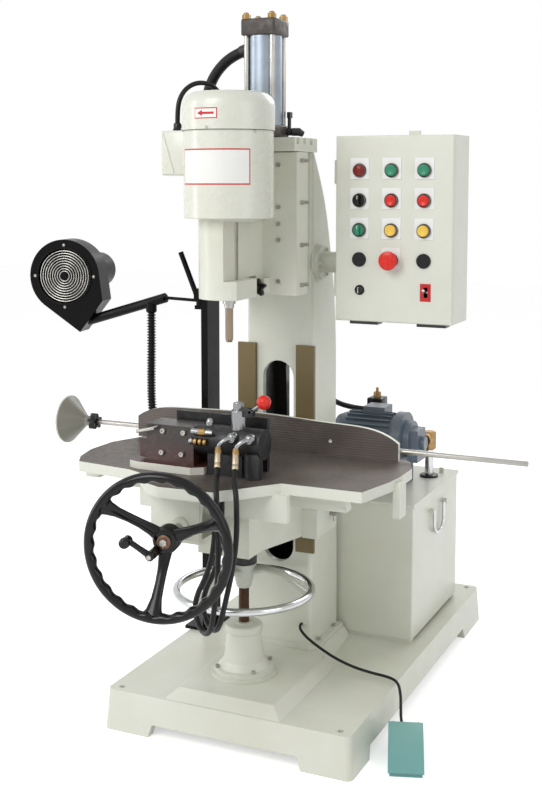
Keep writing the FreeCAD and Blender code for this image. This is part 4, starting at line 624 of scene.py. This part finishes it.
def lay_hoses():
    lay_cord("cylinder_hose", "frame", black_rubber, [
        (-0.0954, -0.3, 1.8535), (-0.1236, -0.3, 1.8432), (-0.157, -0.299, 1.82), (-0.185, -0.296, 1.789),
        (-0.206, -0.289, 1.751), (-0.22, -0.278, 1.705), (-0.225, -0.262, 1.653), (-0.22, -0.242, 1.599),
        (-0.206, -0.219, 1.545), (-0.19, -0.195, 1.492), (-0.18, -0.173, 1.444), (-0.1765, -0.163, 1.402),
        (-0.176, -0.16, 1.362), (-0.176, -0.16, 1.324)], 0.030)
    lay_cord("pressure_hose", "frame", black_rubber, [
        (0.04, 0.386, 0.746), (0.014, 0.386, 0.746), (-0.018, 0.378, 0.75), (-0.048, 0.352, 0.762),
        (-0.062, 0.31, 0.782), (-0.066, 0.258, 0.806), (-0.06, 0.204, 0.83), (-0.044, 0.158, 0.846),
        (-0.018, 0.118, 0.854), (0.01, 0.088, 0.854), (0.029, 0.066, 0.851), (0.043, 0.046, 0.848),
        (0.048, 0.028, 0.846), (0.048, 0.012, 0.846)], 0.018)
    lay_cord("motor_cable", "head", cable_black, [
        (-0.19, -0.495, 1.654), (-0.19, -0.495, 1.688), (-0.186, -0.489, 1.72), (-0.176, -0.474, 1.745),
        (-0.16, -0.451, 1.761), (-0.141, -0.423, 1.763), (-0.125, -0.397, 1.75), (-0.115, -0.379, 1.724),
        (-0.112, -0.371, 1.686), (-0.111, -0.37, 1.644), (-0.111, -0.368, 1.602), (-0.112, -0.363, 1.562),
        (-0.112, -0.358, 1.53), (-0.112, -0.358, 1.504)], 0.013)
    lay_cord("clamp_hose_left", "table", black_rubber, [
        (0.011, -0.664, 0.776), (0.0161, -0.676, 0.7634), (0.027, -0.702, 0.757), (0.043, -0.733, 0.756),
        (0.056, -0.757, 0.738), (0.063, -0.768, 0.7), (0.066, -0.771, 0.65), (0.068, -0.772, 0.598),
        (0.067, -0.772, 0.546), (0.062, -0.77, 0.498), (0.054, -0.767, 0.45), (0.046, -0.763, 0.408),
        (0.028, -0.747, 0.375), (-0.001, -0.722, 0.363), (-0.03, -0.697, 0.375), (-0.048, -0.682, 0.408),
        (-0.039, -0.68, 0.448), (-0.019, -0.683, 0.484), (-0.001, -0.688, 0.524), (0.012, -0.692, 0.568),
        (0.018, -0.694, 0.614), (0.02, -0.694, 0.662), (0.02, -0.694, 0.707)],
        0.014)
    lay_cord("clamp_hose_right", "table", black_rubber, [
        (0.061, -0.664, 0.776), (0.0661, -0.676, 0.7634), (0.076, -0.698, 0.752), (0.09, -0.717, 0.728),
        (0.096, -0.726, 0.69), (0.098, -0.73, 0.64), (0.095, -0.733, 0.588), (0.087, -0.736, 0.536),
        (0.077, -0.737, 0.49), (0.066, -0.736, 0.446), (0.055, -0.733, 0.408), (0.037, -0.718, 0.375),
        (0.007, -0.693, 0.363), (-0.022, -0.668, 0.375), (-0.04, -0.653, 0.408), (-0.033, -0.648, 0.448),
        (-0.014, -0.649, 0.484), (0.004, -0.654, 0.524), (0.018, -0.663, 0.568), (0.027, -0.671, 0.614),
        (0.03, -0.676, 0.662), (0.03, -0.676, 0.707)], 0.014)
    lay_cord("pedal_cable", "frame", cable_black, [
        (0.046, -0.199, 0.214), (0.046, -0.213, 0.214), (0.053, -0.227, 0.209), (0.068, -0.237, 0.2),
        (0.09, -0.242, 0.187), (0.128, -0.246, 0.168), (0.174, -0.248, 0.148), (0.228, -0.247, 0.132),
        (0.284, -0.247, 0.125), (0.338, -0.256, 0.126), (0.366, -0.27, 0.122), (0.38, -0.288, 0.1),
        (0.386, -0.304, 0.068), (0.392, -0.32, 0.044), (0.402, -0.336, 0.032), (0.4163, -0.3538, 0.03),
        (0.4227, -0.3728, 0.03)], 0.008)


def line_of(points):
    """The points that a smooth line follows, read from its spline, in millimetres."""
    guide = route("guide", points, 0.0)
    mesh = bpy.data.meshes.new_from_object(guide)
    found = [v.co / MM for v in mesh.vertices]
    bpy.data.meshes.remove(mesh)
    bpy.data.objects.remove(guide)
    return found


blower_run = [(-0.527, -0.0671, 1.092), (-0.527, -0.0671, 0.992), (-0.531, -0.0651, 0.892),
              (-0.533, -0.0611, 0.802), (-0.527, -0.0591, 0.732), (-0.519, -0.0631, 0.682),
              (-0.517, -0.0671, 0.652)]


def lay_blower_hose():
    """A ribbed hose: rings that swell and shrink along the run, joined into one skin."""
    line = line_of(blower_run)
    reach = [0.0]
    for a, b in zip(line, line[1:]):
        reach.append(reach[-1] + (b - a).length)
    pitch, root, rib = 9.0, 10.0, 5.0
    count = int(reach[-1] / pitch * 8)
    spots = []
    radii = []
    segment = 0
    for i in range(count + 1):
        along = reach[-1] * i / count
        while segment < len(line) - 2 and reach[segment + 1] < along:
            segment += 1
        share = (along - reach[segment]) / (reach[segment + 1] - reach[segment])
        spots.append(line[segment].lerp(line[segment + 1], share))
        radii.append(root + rib * max(0.0, sin(2 * pi * along / pitch)) ** 0.6)
    hose = Piece("blower_hose_ribbed", "blower", "black_rubber", black_rubber)
    hose.add(sweep(spots, radii, sides=20, up=(0, 1, 0)))
    piece = hose.keep("blower_hose", crease=60)


# ---------------------------------------------------------------- wheels
def spoked(piece, path, widths, depths, angles, paint=0):
    for angle in angles:
        a = radians(angle)
        line = [(r * cos(a), r * sin(a), z) for r, z in path]
        piece.add(sweep(line, widths, depths, sides=20), paint=paint)


feed_seat = seat((-60, -845, 610), (sin(radians(12.5)), -cos(radians(12.5)), 0), (0, 0, 1))
fold_pivot = (-22, -24)


def feed_handwheel():
    """Gloss black wheel: finger grips round the inside of the rim, three flared spokes and a dished hub."""
    wheel = Piece("feed_handwheel_detailed", "handwheel", "black_enamel", black_enamel, bronze, bright_steel)
    rim_r, section, grips, grip_depth = 176, 14, 27, 5
    rim = ring(rim_r, section, grips * 8, 16)
    for v in rim.verts:
        reach = v.co.xy.length
        inner = max(0.0, (rim_r - reach) / section)
        push = grip_depth * inner * (0.5 + 0.5 * cos(grips * atan2(v.co.y, v.co.x)))
        v.co.xy = v.co.xy * ((reach + push) / reach)
    wheel.add(rim)
    path = [(18, -72), (45, -68), (75, -57), (105, -42), (135, -24), (158, -9), (172, 0)]
    spoked(wheel, path, (20, 16, 13, 12.5, 14, 20, 30), (12, 9, 8, 7.5, 7.5, 8, 9), (25, 145, 265))
    wheel.add(lathe([(0, -106), (30, -106), (34, -102), (34, -64), (30, -57), (24, -56), (0, -56)], 72))
    wheel.add(lathe([(0, -56.5), (18, -56.5), (18, -50), (15.5, -48), (0, -48)]), paint=1)
    wheel.add(hex_head(10, 5), shift(0, 0, -48.5), 2)
    wheel.add(bar((0, 0, -315), (0, 0, -100), 12), paint=2)
    wheel.add(slab(lobed(22.6, 1.4, 22, 132), -285, -221, 0.8, 1), paint=2)
    wheel.add(lathe([(0, -90), (12, -90), (12, -25), (10, -23), (5.3, -23), (5.3, -48), (0, -48)]),
              shift(*fold_pivot, 0))
    wheel.keep("feed_handwheel", place=feed_seat)


def folding_handle():
    """The small crank that folds out of the wheel's dish."""
    handle = Piece("folding_handle_detailed", "handwheel_handle", "black_plastic", black_plastic,
                   bright_steel)
    turn, length = radians(146), 68
    tip = Vector((fold_pivot[0] + length * cos(turn), fold_pivot[1] + length * sin(turn), 0))
    at = Vector((*fold_pivot, 0))
    arm = [at.lerp(tip, t) + Vector((0, 0, -10.5 + 6 * t)) for t in (0.0, 0.25, 0.5, 0.75, 1.0)]
    handle.add(sweep(arm, (10, 8.5, 7.5, 7.5, 8), (7, 6.5, 6, 6, 6.5)))
    handle.add(lathe([(0, -22.6), (11, -22.6), (11, -3), (9, -0.5), (0, -0.5)]), Matrix.Translation(at))
    handle.add(hex_head(6.5, 4), Matrix.Translation(at + Vector((0, 0, -1))), 1)
    handle.add(bar((*fold_pivot, -47), (*fold_pivot, -10.5), 5), paint=1)
    handle.add(lathe([(0, -12.5), (9, -12.5), (12, -9), (11, -3), (12.4, 8), (14, 18), (12.8, 25), (8, 29),
                      (0, 29.5)]), Matrix.Translation(tip))
    handle.keep("folding_handle", place=feed_seat)


screw_seat = shift(-36, -415)


def elevating_wheel():
    """Chromed rim on three dished, enamelled spokes, round a tapered hub."""
    wheel = Piece("elevating_wheel_detailed", "elevating", "chrome", chrome, spoke_paint, cap_black)
    wheel.add(ring(187, 10.5, 144, 18), shift(0, 0, 377))
    path = [(24, 430), (60, 438), (110, 428), (150, 396), (182, 377)]
    spoked(wheel, path, (20, 18, 16, 17, 20), (10, 8, 7, 7, 7), (12, 132, 252), 1)
    wheel.add(lathe([(15, 383), (18, 383), (21, 387), (24, 400), (36, 452), (15, 452), (15, 383)], 72),
              paint=1)
    wheel.add(lathe([(15, 452.5), (34, 452.5), (36, 454.5), (36, 475.6), (34, 477.6), (15, 477.6),
                     (15, 452.5)], 72), paint=2)
    wheel.keep("elevating_wheel", place=screw_seat)
    thread_r, core_r, pitch, turns = 15, 12.8, 6, 50
    profile = [(0, 165), (13, 165)]
    for i in range(turns):
        low = 168 + pitch * i
        profile += [(core_r, low), (thread_r, low + 2), (thread_r, low + 3.2), (core_r, low + 5.2)]
    profile += [(13, 477), (13, 604), (0, 604)]
    screw = Piece("elevating_screw_threaded", "elevating", "bright_steel", screw_brown)
    screw.add(lathe(profile, 36))
    screw.keep("elevating_screw", place=screw_seat, crease=50)


def depth_knob():
    knob = Piece("depth_stop_knob_detailed", "depth_stop", "black_plastic", black_plastic, bright_steel)
    knob.add(star(20.6, 5.2, 14), Matrix.Rotation(pi / 2, 4, "Z"))
    knob.add(lathe([(0, 13), (9, 13), (9, 20), (7.5, 22), (0, 22)]))
    knob.add(bar((0, 0, -28), (0, 0, 1), 5), paint=1)
    knob.keep("depth_stop_knob", place=seat((-8, -376, 1212), (0, -1, 0), (0, 0, 1)))


def stop_rod():
    """A long bright rod with a hollow sheet cone and a star knob at its left end."""
    stop = Piece("stop_rod_detailed", "stop", "bright_steel", bright_steel, cone_grey, rim_pale,
                 black_plastic)
    stop.add(lathe([(0, 48), (18, 48), (69.6, 3.6), (70, 3), (72.6, 5), (15.5, 66), (15.5, 84), (0, 84)], 96),
             paint=1)
    stop.add(lathe([(69.4, 3.6), (70, 0.6), (72, 0), (73.8, 0.8), (74, 3), (72.4, 5.4), (69.4, 3.6)], 96),
             paint=2)
    stop.add(star(20.2, 5.4, 24), shift(0, 0, 83) @ Matrix.Rotation(pi / 2, 4, "Z"), 3)
    stop.add(lathe([(0, 106), (11, 106), (11, 110), (9, 112), (0, 112)]), paint=3)
    stop.add(bar((0, 0, 36), (0, 0, 1440), 7.5, edge=1.2))
    stop.keep("stop_rod", place=seat((-738, -222, 760), (1, 0, 0), (0, 0, 1)))


# ---------------------------------------------------------------- motor
motor_seat = shift(-36, -500)
shell_r, cover_r, seam = 118, 121, 1630


def motor_housing():
    """A hollow shell with a domed cover, its stator, and the terminal box with its gland."""
    motor = Piece("motor_housing_detailed", "head", "motor_shell", motor_ivory, black_plastic, bright_steel)
    low, high, dome_r, hole_r, wall_r, bore_r = 1404, 1730, 38, 30, 110, 66
    turns = [radians(11.25 * i) for i in range(9)]
    dome = [(cover_r - dome_r + dome_r * cos(a), high - dome_r + dome_r * sin(a)) for a in turns]
    outer = [(hole_r, low), (shell_r - 2, low), (shell_r, low + 2), (shell_r, seam - 1), (cover_r, seam + 1)]
    inner = [(0, high - 12), (wall_r - 30, high - 12), (wall_r, high - 40), (wall_r, low + 10),
             (hole_r, low + 10), (hole_r, low)]
    motor.add(lathe(outer + dome + [(0, high)] + inner, 128))
    motor.add(lathe([(bore_r, 1480), (wall_r + 0.4, 1480), (wall_r + 0.4, 1600), (bore_r, 1600),
                     (bore_r, 1480)], 64), paint=2)
    motor.add(block(-176, -96, -45, 55, 1514, 1632, 4, 3))
    motor.add(block(-173, -97, -47.4, -44, 1518, 1628, 1.4))
    crease = [(-170, -47.2, 1624), (-154, -47.2, 1573), (-138, -47.2, 1522)]
    motor.add(sweep(crease, (2.4, 2.4, 2.4), sides=10, up=(0, 1, 0)))
    motor.add(lathe([(0, 1630), (13, 1630), (13, 1637), (11, 1640), (11, 1650), (8.5, 1654), (0, 1654)], 32),
              shift(-154, 5, 0), 1)
    motor.keep("motor_housing", place=motor_seat)


def motor_trim():
    """Bare plates bent round the motor, its seam, and the heads of the cover's screws."""
    trim = Piece("motor_plates", "head", "motor_shell", plate_white, trim_red, seam_dark, bright_steel)
    trim.add(wrap(shell_r, -86, 206, 1491, 1582, 0.6), paint=1)
    trim.add(wrap(shell_r, -86, 200, 1494.5, 1578.5, 1.0))
    trim.add(wrap(cover_r, -92.5, 65.5, 1657, 1684, 0.5), paint=1)
    trim.add(wrap(cover_r, -92.5, 60.5, 1659.5, 1681.5, 0.8))
    arrow = [(-0.40, 0), (-0.14, 0.34), (-0.14, 0.13), (0.40, 0.13), (0.40, -0.13), (-0.14, -0.13),
             (-0.14, -0.34)]
    trim.add(wrap(cover_r, -92.5, 60.5, 1659.5, 1681.5, 1.1, arrow), paint=1)
    trim.add(ring(cover_r - 0.5, 0.9, 144, 8), shift(0, 0, seam), 2)
    for angle, r, z in ((-90.3, cover_r, seam + 5), (-29.3, shell_r, seam - 5), (-150, cover_r, seam + 5)):
        a = radians(angle)
        out = (cos(a), sin(a), 0)
        trim.add(lathe([(0, -1), (4, -1), (4, 1.2), (2.6, 2.4), (0, 2.6)]),
                 seat((r * cos(a), r * sin(a), z), out, (0, 0, 1)), 3)
    trim.keep(place=motor_seat)


def cylinder_caps():
    """Square end caps held by four bright tie rods with brassed nuts."""
    caps = Piece("cylinder_caps_detailed", "frame", "cap_iron", cap_brown, bright_steel, brass)
    for z0, z1 in ((1618, 1652), (1892, 1937)):
        caps.add(block(-74, 26, -350, -250, z0, z1, 5, 3))
    for x in (-62, 14):
        for y in (-338, -262):
            at = shift(x, y, 0)
            caps.add(bar((x, y, 1628), (x, y, 1954), 6.5, edge=1.5), paint=1)
            caps.add(hex_head(11, 10), at @ shift(0, 0, 1937), 2)
            caps.add(lathe([(6.4, 1946), (9, 1947), (9, 1950), (6.4, 1953), (6.4, 1946)], 28), at, 2)
    caps.keep("cylinder_caps")


# ---------------------------------------------------------------- control box
box_left, box_right, box_low, box_high, door_front = 156, 489, 1115, 1623, -225
column_x = [box_left + 70 + 92 * i for i in range(3)]
row_z = [box_high - 94 - 81 * i for i in range(4)]
key_x, key_z = box_left + 72, box_low + 87


def on_door(x, z):
    return seat((x, door_front, z), (0, -1, 0), (0, 0, 1))


def control_rings():
    """The bezels, the two blank caps, the pilot lamp, the key's barrel and the toggle's plate."""
    rings = Piece("control_rings_detailed", "door", "chrome", gunmetal, black_plastic, pilot_red)
    hole_r, barrel_r, behind = 17.4, 12, -14

    def bezel(inner, outer):
        return lathe([(inner, behind), (hole_r, behind), (hole_r, 1.2), (outer, 1.2), (outer, 5.5),
                      (outer - 1.1, 8.8), (outer - 2.6, 10.2), (inner + 0.4, 9.6), (inner, 8.4),
                      (inner, behind)], 72)

    for row in range(3):
        for column in range(3):
            if row + column:
                rings.add(bezel(15.7, 19.5), on_door(column_x[column], row_z[row]))
    rings.add(bezel(8.2, 20.5), on_door(column_x[1], row_z[3]), 1)
    for column in (0, 2):
        rings.add(lathe([(0, behind), (hole_r, behind), (hole_r, 0), (20, 0), (20, 3.4), (18.2, 5.6), (8, 6),
                         (0, 6)], 72), on_door(column_x[column], row_z[3]), 1)
    lamp = on_door(column_x[0], row_z[0])
    rings.add(lathe([(0, behind), (hole_r, behind), (hole_r, 1.2), (19.5, 1.2), (19.5, 4.5), (18, 7.2),
                     (0, 7.2)], 72), lamp)
    rings.add(lathe([(0, 7), (16.4, 7), (16, 10), (12.5, 13), (6, 14.1), (0, 14.2)], 72), lamp, 2)
    rings.add(lathe([(9.1, -12), (barrel_r, -12), (barrel_r, 0), (14, 0), (14, 2), (13, 3), (9.1, 3),
                     (9.1, -12)], 48), on_door(key_x, key_z), 1)
    rings.keep("control_rings")
    toggle_x, toggle_z = box_right - 73, box_low + 86
    plate = Piece("toggle_plate", "door", "red_plastic", trim_red, black_plastic)
    for x0, x1, z0, z1 in ((-15, 15, 14, 24), (-15, 15, -24, -14), (-15, -6, -15, 15), (6, 15, -15, 15)):
        plate.add(block(toggle_x + x0, toggle_x + x1, -226.2, -224.8, toggle_z + z0, toggle_z + z1, 0.3, 1))
    for x0 in (-11, 5.5):
        plate.add(block(toggle_x + x0, toggle_x + x0 + 5.5, -222, -212, toggle_z - 17, toggle_z + 17,
                        0.5, 1), paint=1)
    plate.keep()


def push_buttons():
    """Caps with a raised rim round a shallow dish."""
    profile = [(0, -12), (15.4, -12), (15.4, 11), (15.0, 13.2), (13.6, 14.7), (12.0, 14.9), (10.4, 14.0),
               (0, 13.2)]
    colours = (("green", green_plastic), ("red", red_plastic), ("yellow", yellow_plastic))
    for row, (colour, finish) in enumerate(colours):
        for column, side in ((1, "left"), (2, "right")):
            name = "button_" + colour + "_" + side
            cap = Piece(name + "_cap", name + "_body", colour + "_plastic", finish)
            cap.add(lathe(profile, 64), on_door(column_x[column], row_z[row]))
            cap.keep(name)
    for row, name, slot, finish in ((1, "selector_black", "black_plastic", black_plastic),
                                    (2, "selector_green", "green_plastic", green_plastic)):
        knob = Piece(name + "_knob", name + "_body", slot, finish, plate_white)
        knob.add(lathe([(0, -12), (15.4, -12), (15.4, 9), (14, 11), (0, 11.2)], 64))
        knob.add(block(-4.6, 4.6, -13.6, 13.6, 10.5, 22, 1.8, 3))
        knob.add(block(-0.8, 0.8, 3, 12.4, 21.6, 22.3, 0.2, 1), paint=1)
        knob.keep(name, place=on_door(column_x[0], row_z[row]))
    stop = Piece("emergency_stop_head", "emergency_stop_body", "red_plastic", red_plastic)
    stop.add(lathe([(0, -12), (8, -12), (8, 16.8), (19, 17), (23, 20.5), (25.6, 26), (26, 30), (24.4, 33.8),
                    (20, 35.8), (10, 36), (0, 36)], 80), on_door(column_x[1], row_z[3]))
    stop.keep("emergency_stop")
    key = Piece("key_lock_detailed", "key_lock_body", "chrome", cap_black, chrome)
    key.add(lathe([(0, -11), (9, -11), (9, 3), (8, 4), (0, 4)], 48))
    key.add(block(-1, 1, -8, 8, 3.6, 16, 0.5), paint=1)
    key.keep("key_lock", place=on_door(key_x, key_z))


# ---------------------------------------------------------------- work clamp
def clamp_fittings():
    """Screws, banjo bolts with their bent tubes, hose ferrules, the small unions and the hand valve."""
    fit = Piece("clamp_fittings_detailed", "table", "brass", brass, fitting_chrome_painted_reflection, bright_steel,
                ferrule_beige, cap_black)
    face, valve_y = -592, -556
    for x, z in ((-186, 842), (-124, 842), (-190, 784), (-130, 784)):
        fit.add(lathe([(0, 0), (8, 0), (8, 5.5), (6.6, 8), (3.4, 8), (3.4, 5), (0, 5)], 32),
                seat((x, face, z), (0, -1, 0), (0, 0, 1)), 2)
    for x in (22, 72):
        fit.add(lathe([(0, 0), (12, 0), (13, 2), (13, 20), (11, 24), (8, 24.5), (8, 27), (6, 28), (0, 28)],
                      40), seat((x, -586, 843), (0, -1, 0), (0, 0, 1)), 1)
        top = Vector((x - 28, -624, 818))
        fit.add(sweep([(x, -606, 843), (x - 7, -614, 842), (x - 17, -621, 836), (x - 25, -624, 827), top],
                      (6, 6, 6, 6, 6.4), sides=18), paint=1)
        at = seat(top, (17, -40, -42), (0, 0, 1))
        fit.add(lathe([(0, -2), (7, -2), (9, 0), (9, 9), (7.8, 10.5), (0, 10.5)], 40), at)
        fit.add(hex_head(9.6, 8), at @ shift(0, 0, 10))
        fit.add(lathe([(0, 17.5), (8.5, 17.5), (8.5, 44), (7.6, 46), (8.6, 48), (8.6, 58), (7.4, 60.4),
                       (0, 60.4)], 40), at, 3)
    union = seat((-98, -600, 850), (1, 0, 0), (0, 0, 1))
    fit.add(lathe([(0, 0), (6, 0), (8, 2), (8, 22), (0, 24)], 40), union, 1)
    fit.add(hex_head(9.2, 18), union @ shift(0, 0, 23))
    fit.add(lathe([(0, 40), (6.6, 40.5), (6.6, 58), (5, 63), (0, 64)], 40), union, 2)
    fit.add(bar((-56, -600, 850), (-56, -572, 848), 7), paint=1)
    for i in range(3):
        fit.add(lathe([(0, 0), (8.6, 0), (10, 2), (10, 7), (8.6, 9), (0, 9)], 36),
                seat((-88 + 13.75 * i, -602, 824), (1, 0, 0), (0, 0, 1)))
    fit.add(lathe(half_round(9), 32), shift(-98, -600, 824), 1)
    fit.add(bar((-70, -602, 824), (-70, -580, 824), 6), paint=1)
    fit.add(lathe([(0, 849), (10, 849), (10, 868), (7.4, 876), (3, 880), (0, 880)], 40),
            shift(-66, valve_y), 1)
    fit.add(lathe([(0, 853), (20, 853), (20, 905), (18, 908), (14, 909), (14, 925), (12, 928), (0, 928)], 56),
            shift(18, valve_y), 1)
    fit.add(block(20, 46, -568, -544, 892, 914, 1.6), paint=4)
    for y in (-568, -548.6):
        fit.add(block(44, 62, y, y + 4.6, 892, 914, 1.2), paint=4)
    pipe = [(-262, -602, 836), (-236, -606, 842), (-214, -611, 848), (-206, -612, 850), (-205, -600, 850),
            (-205, -590, 850)]
    fit.add(sweep(pipe, [5] * len(pipe), sides=16), paint=2)
    fit.keep("clamp_fittings")


def valve_lever():
    at, ball = Vector((55, -556, 906)), Vector((91, -556, 933))
    lever = Piece("valve_lever_detailed", "clamp_valve", "red_plastic", red_plastic, fitting_chrome_painted_reflection)
    lever.add(bar(at, ball, 5, 4), paint=1)
    lever.add(bar(at + Vector((0, -7, 0)), at + Vector((0, 7, 0)), 6, edge=0.8), paint=1)
    lever.add(bar(at + Vector((0, -12, 0)), at + Vector((0, 12, 0)), 3.6), paint=1)
    lever.add(lathe(half_round(19), 56), Matrix.Translation(ball))
    lever.keep("valve_lever")


# ---------------------------------------------------------------- blower and pump
def blower_grille():
    """Round wires over the eye, a lip round it and four bright screws."""
    grille = Piece("blower_grille", "blower", "black_enamel", blower_black, bright_steel)
    turn = radians(12)
    eye, step = 88, 8.15
    for i in range(2, 11):
        grille.add(ring(step * i, 1.7, 96, 10), shift(0, 0, -1.4), 1)
    for angle in (45, 135):
        x, y = eye * cos(radians(angle)), eye * sin(radians(angle))
        grille.add(bar((-x, -y, -2.6), (x, y, -2.6), 1.5, steps=12))
    grille.add(ring(eye + 3, 3.2, 128, 14))
    for angle in (0, 90, 180, 270):
        a = radians(angle)
        grille.add(lathe([(0, -0.5), (5, -0.5), (5, 1.6), (3.4, 3), (0, 3.2)], 28),
                   shift(100 * cos(a), 100 * sin(a), 0), 1)
    grille.keep(place=seat((-831, -98, 1195.5), (sin(turn), -cos(turn), 0), (0, 0, 1)))


def tank_fittings():
    """Valve stack with its solenoid, and the filler pipe with a brass elbow."""
    fit = Piece("tank_fittings_detailed", "frame", "brass", brass, valve_green, black_plastic, chrome,
                bright_steel)
    filler = shift(246, 388)
    fit.add(block(36, 96, 352, 420, 541, 640, 3, 3), paint=1)
    fit.add(block(39, 93, 355, 417, 640, 699, 3, 3), paint=4)
    fit.add(block(40, 92, 356, 416, 699, 790, 4, 3), paint=2)
    fit.add(block(92, 128, 366, 406, 640, 690, 3, 3), paint=2)
    fit.add(hex_head(12, 16), shift(66, 386, 790))
    fit.add(lathe([(0, 805), (5, 805), (5, 820), (3.6, 822), (0, 822)], 28), shift(66, 386, 0))
    fit.add(lathe([(0, 541), (30, 541), (30, 547), (26, 549), (0, 549)], 48), filler, 2)
    fit.add(bar((246, 388, 548), (246, 388, 640), 14), paint=3)
    fit.add(lathe([(0, 632), (19, 632), (22, 636), (22, 686), (19, 690), (0, 690)], 48), filler)
    fit.add(lathe([(0, 0), (17, 0), (19, 2), (19, 44), (0, 46)], 48),
            seat((246, 342, 668), (0, 1, 0), (0, 0, 1)))
    fit.keep("tank_fittings")


# ---------------------------------------------------------------- build
bpy.context.scene.view_settings.view_transform = "Standard"
set_camera()
set_world()
set_lamp("key", (-1.2, -4.2, 3.6), (0.0, -0.2, 0.9), (2.2, 2.6), 104)
set_lamp("side", (3.6, -1.6, 2.2), (0.0, -0.1, 0.9), (2.0, 2.4), 22)
set_lamp("back", (0.5, 3.0, 3.0), (0.0, 0.0, 1.0), (2.5, 1.6), 40)
set_lamp("strip", (-3.0, -1.8, 1.8), (0.0, -0.4, 1.3), (0.4, 2.6), 22)
set_floor()
dress_nodes()
lay_hoses()
lay_blower_hose()
feed_handwheel()
folding_handle()
elevating_wheel()
depth_knob()
stop_rod()
motor_housing()
motor_trim()
cylinder_caps()
control_rings()
push_buttons()
clamp_fittings()
valve_lever()
blower_grille()
tank_fittings()
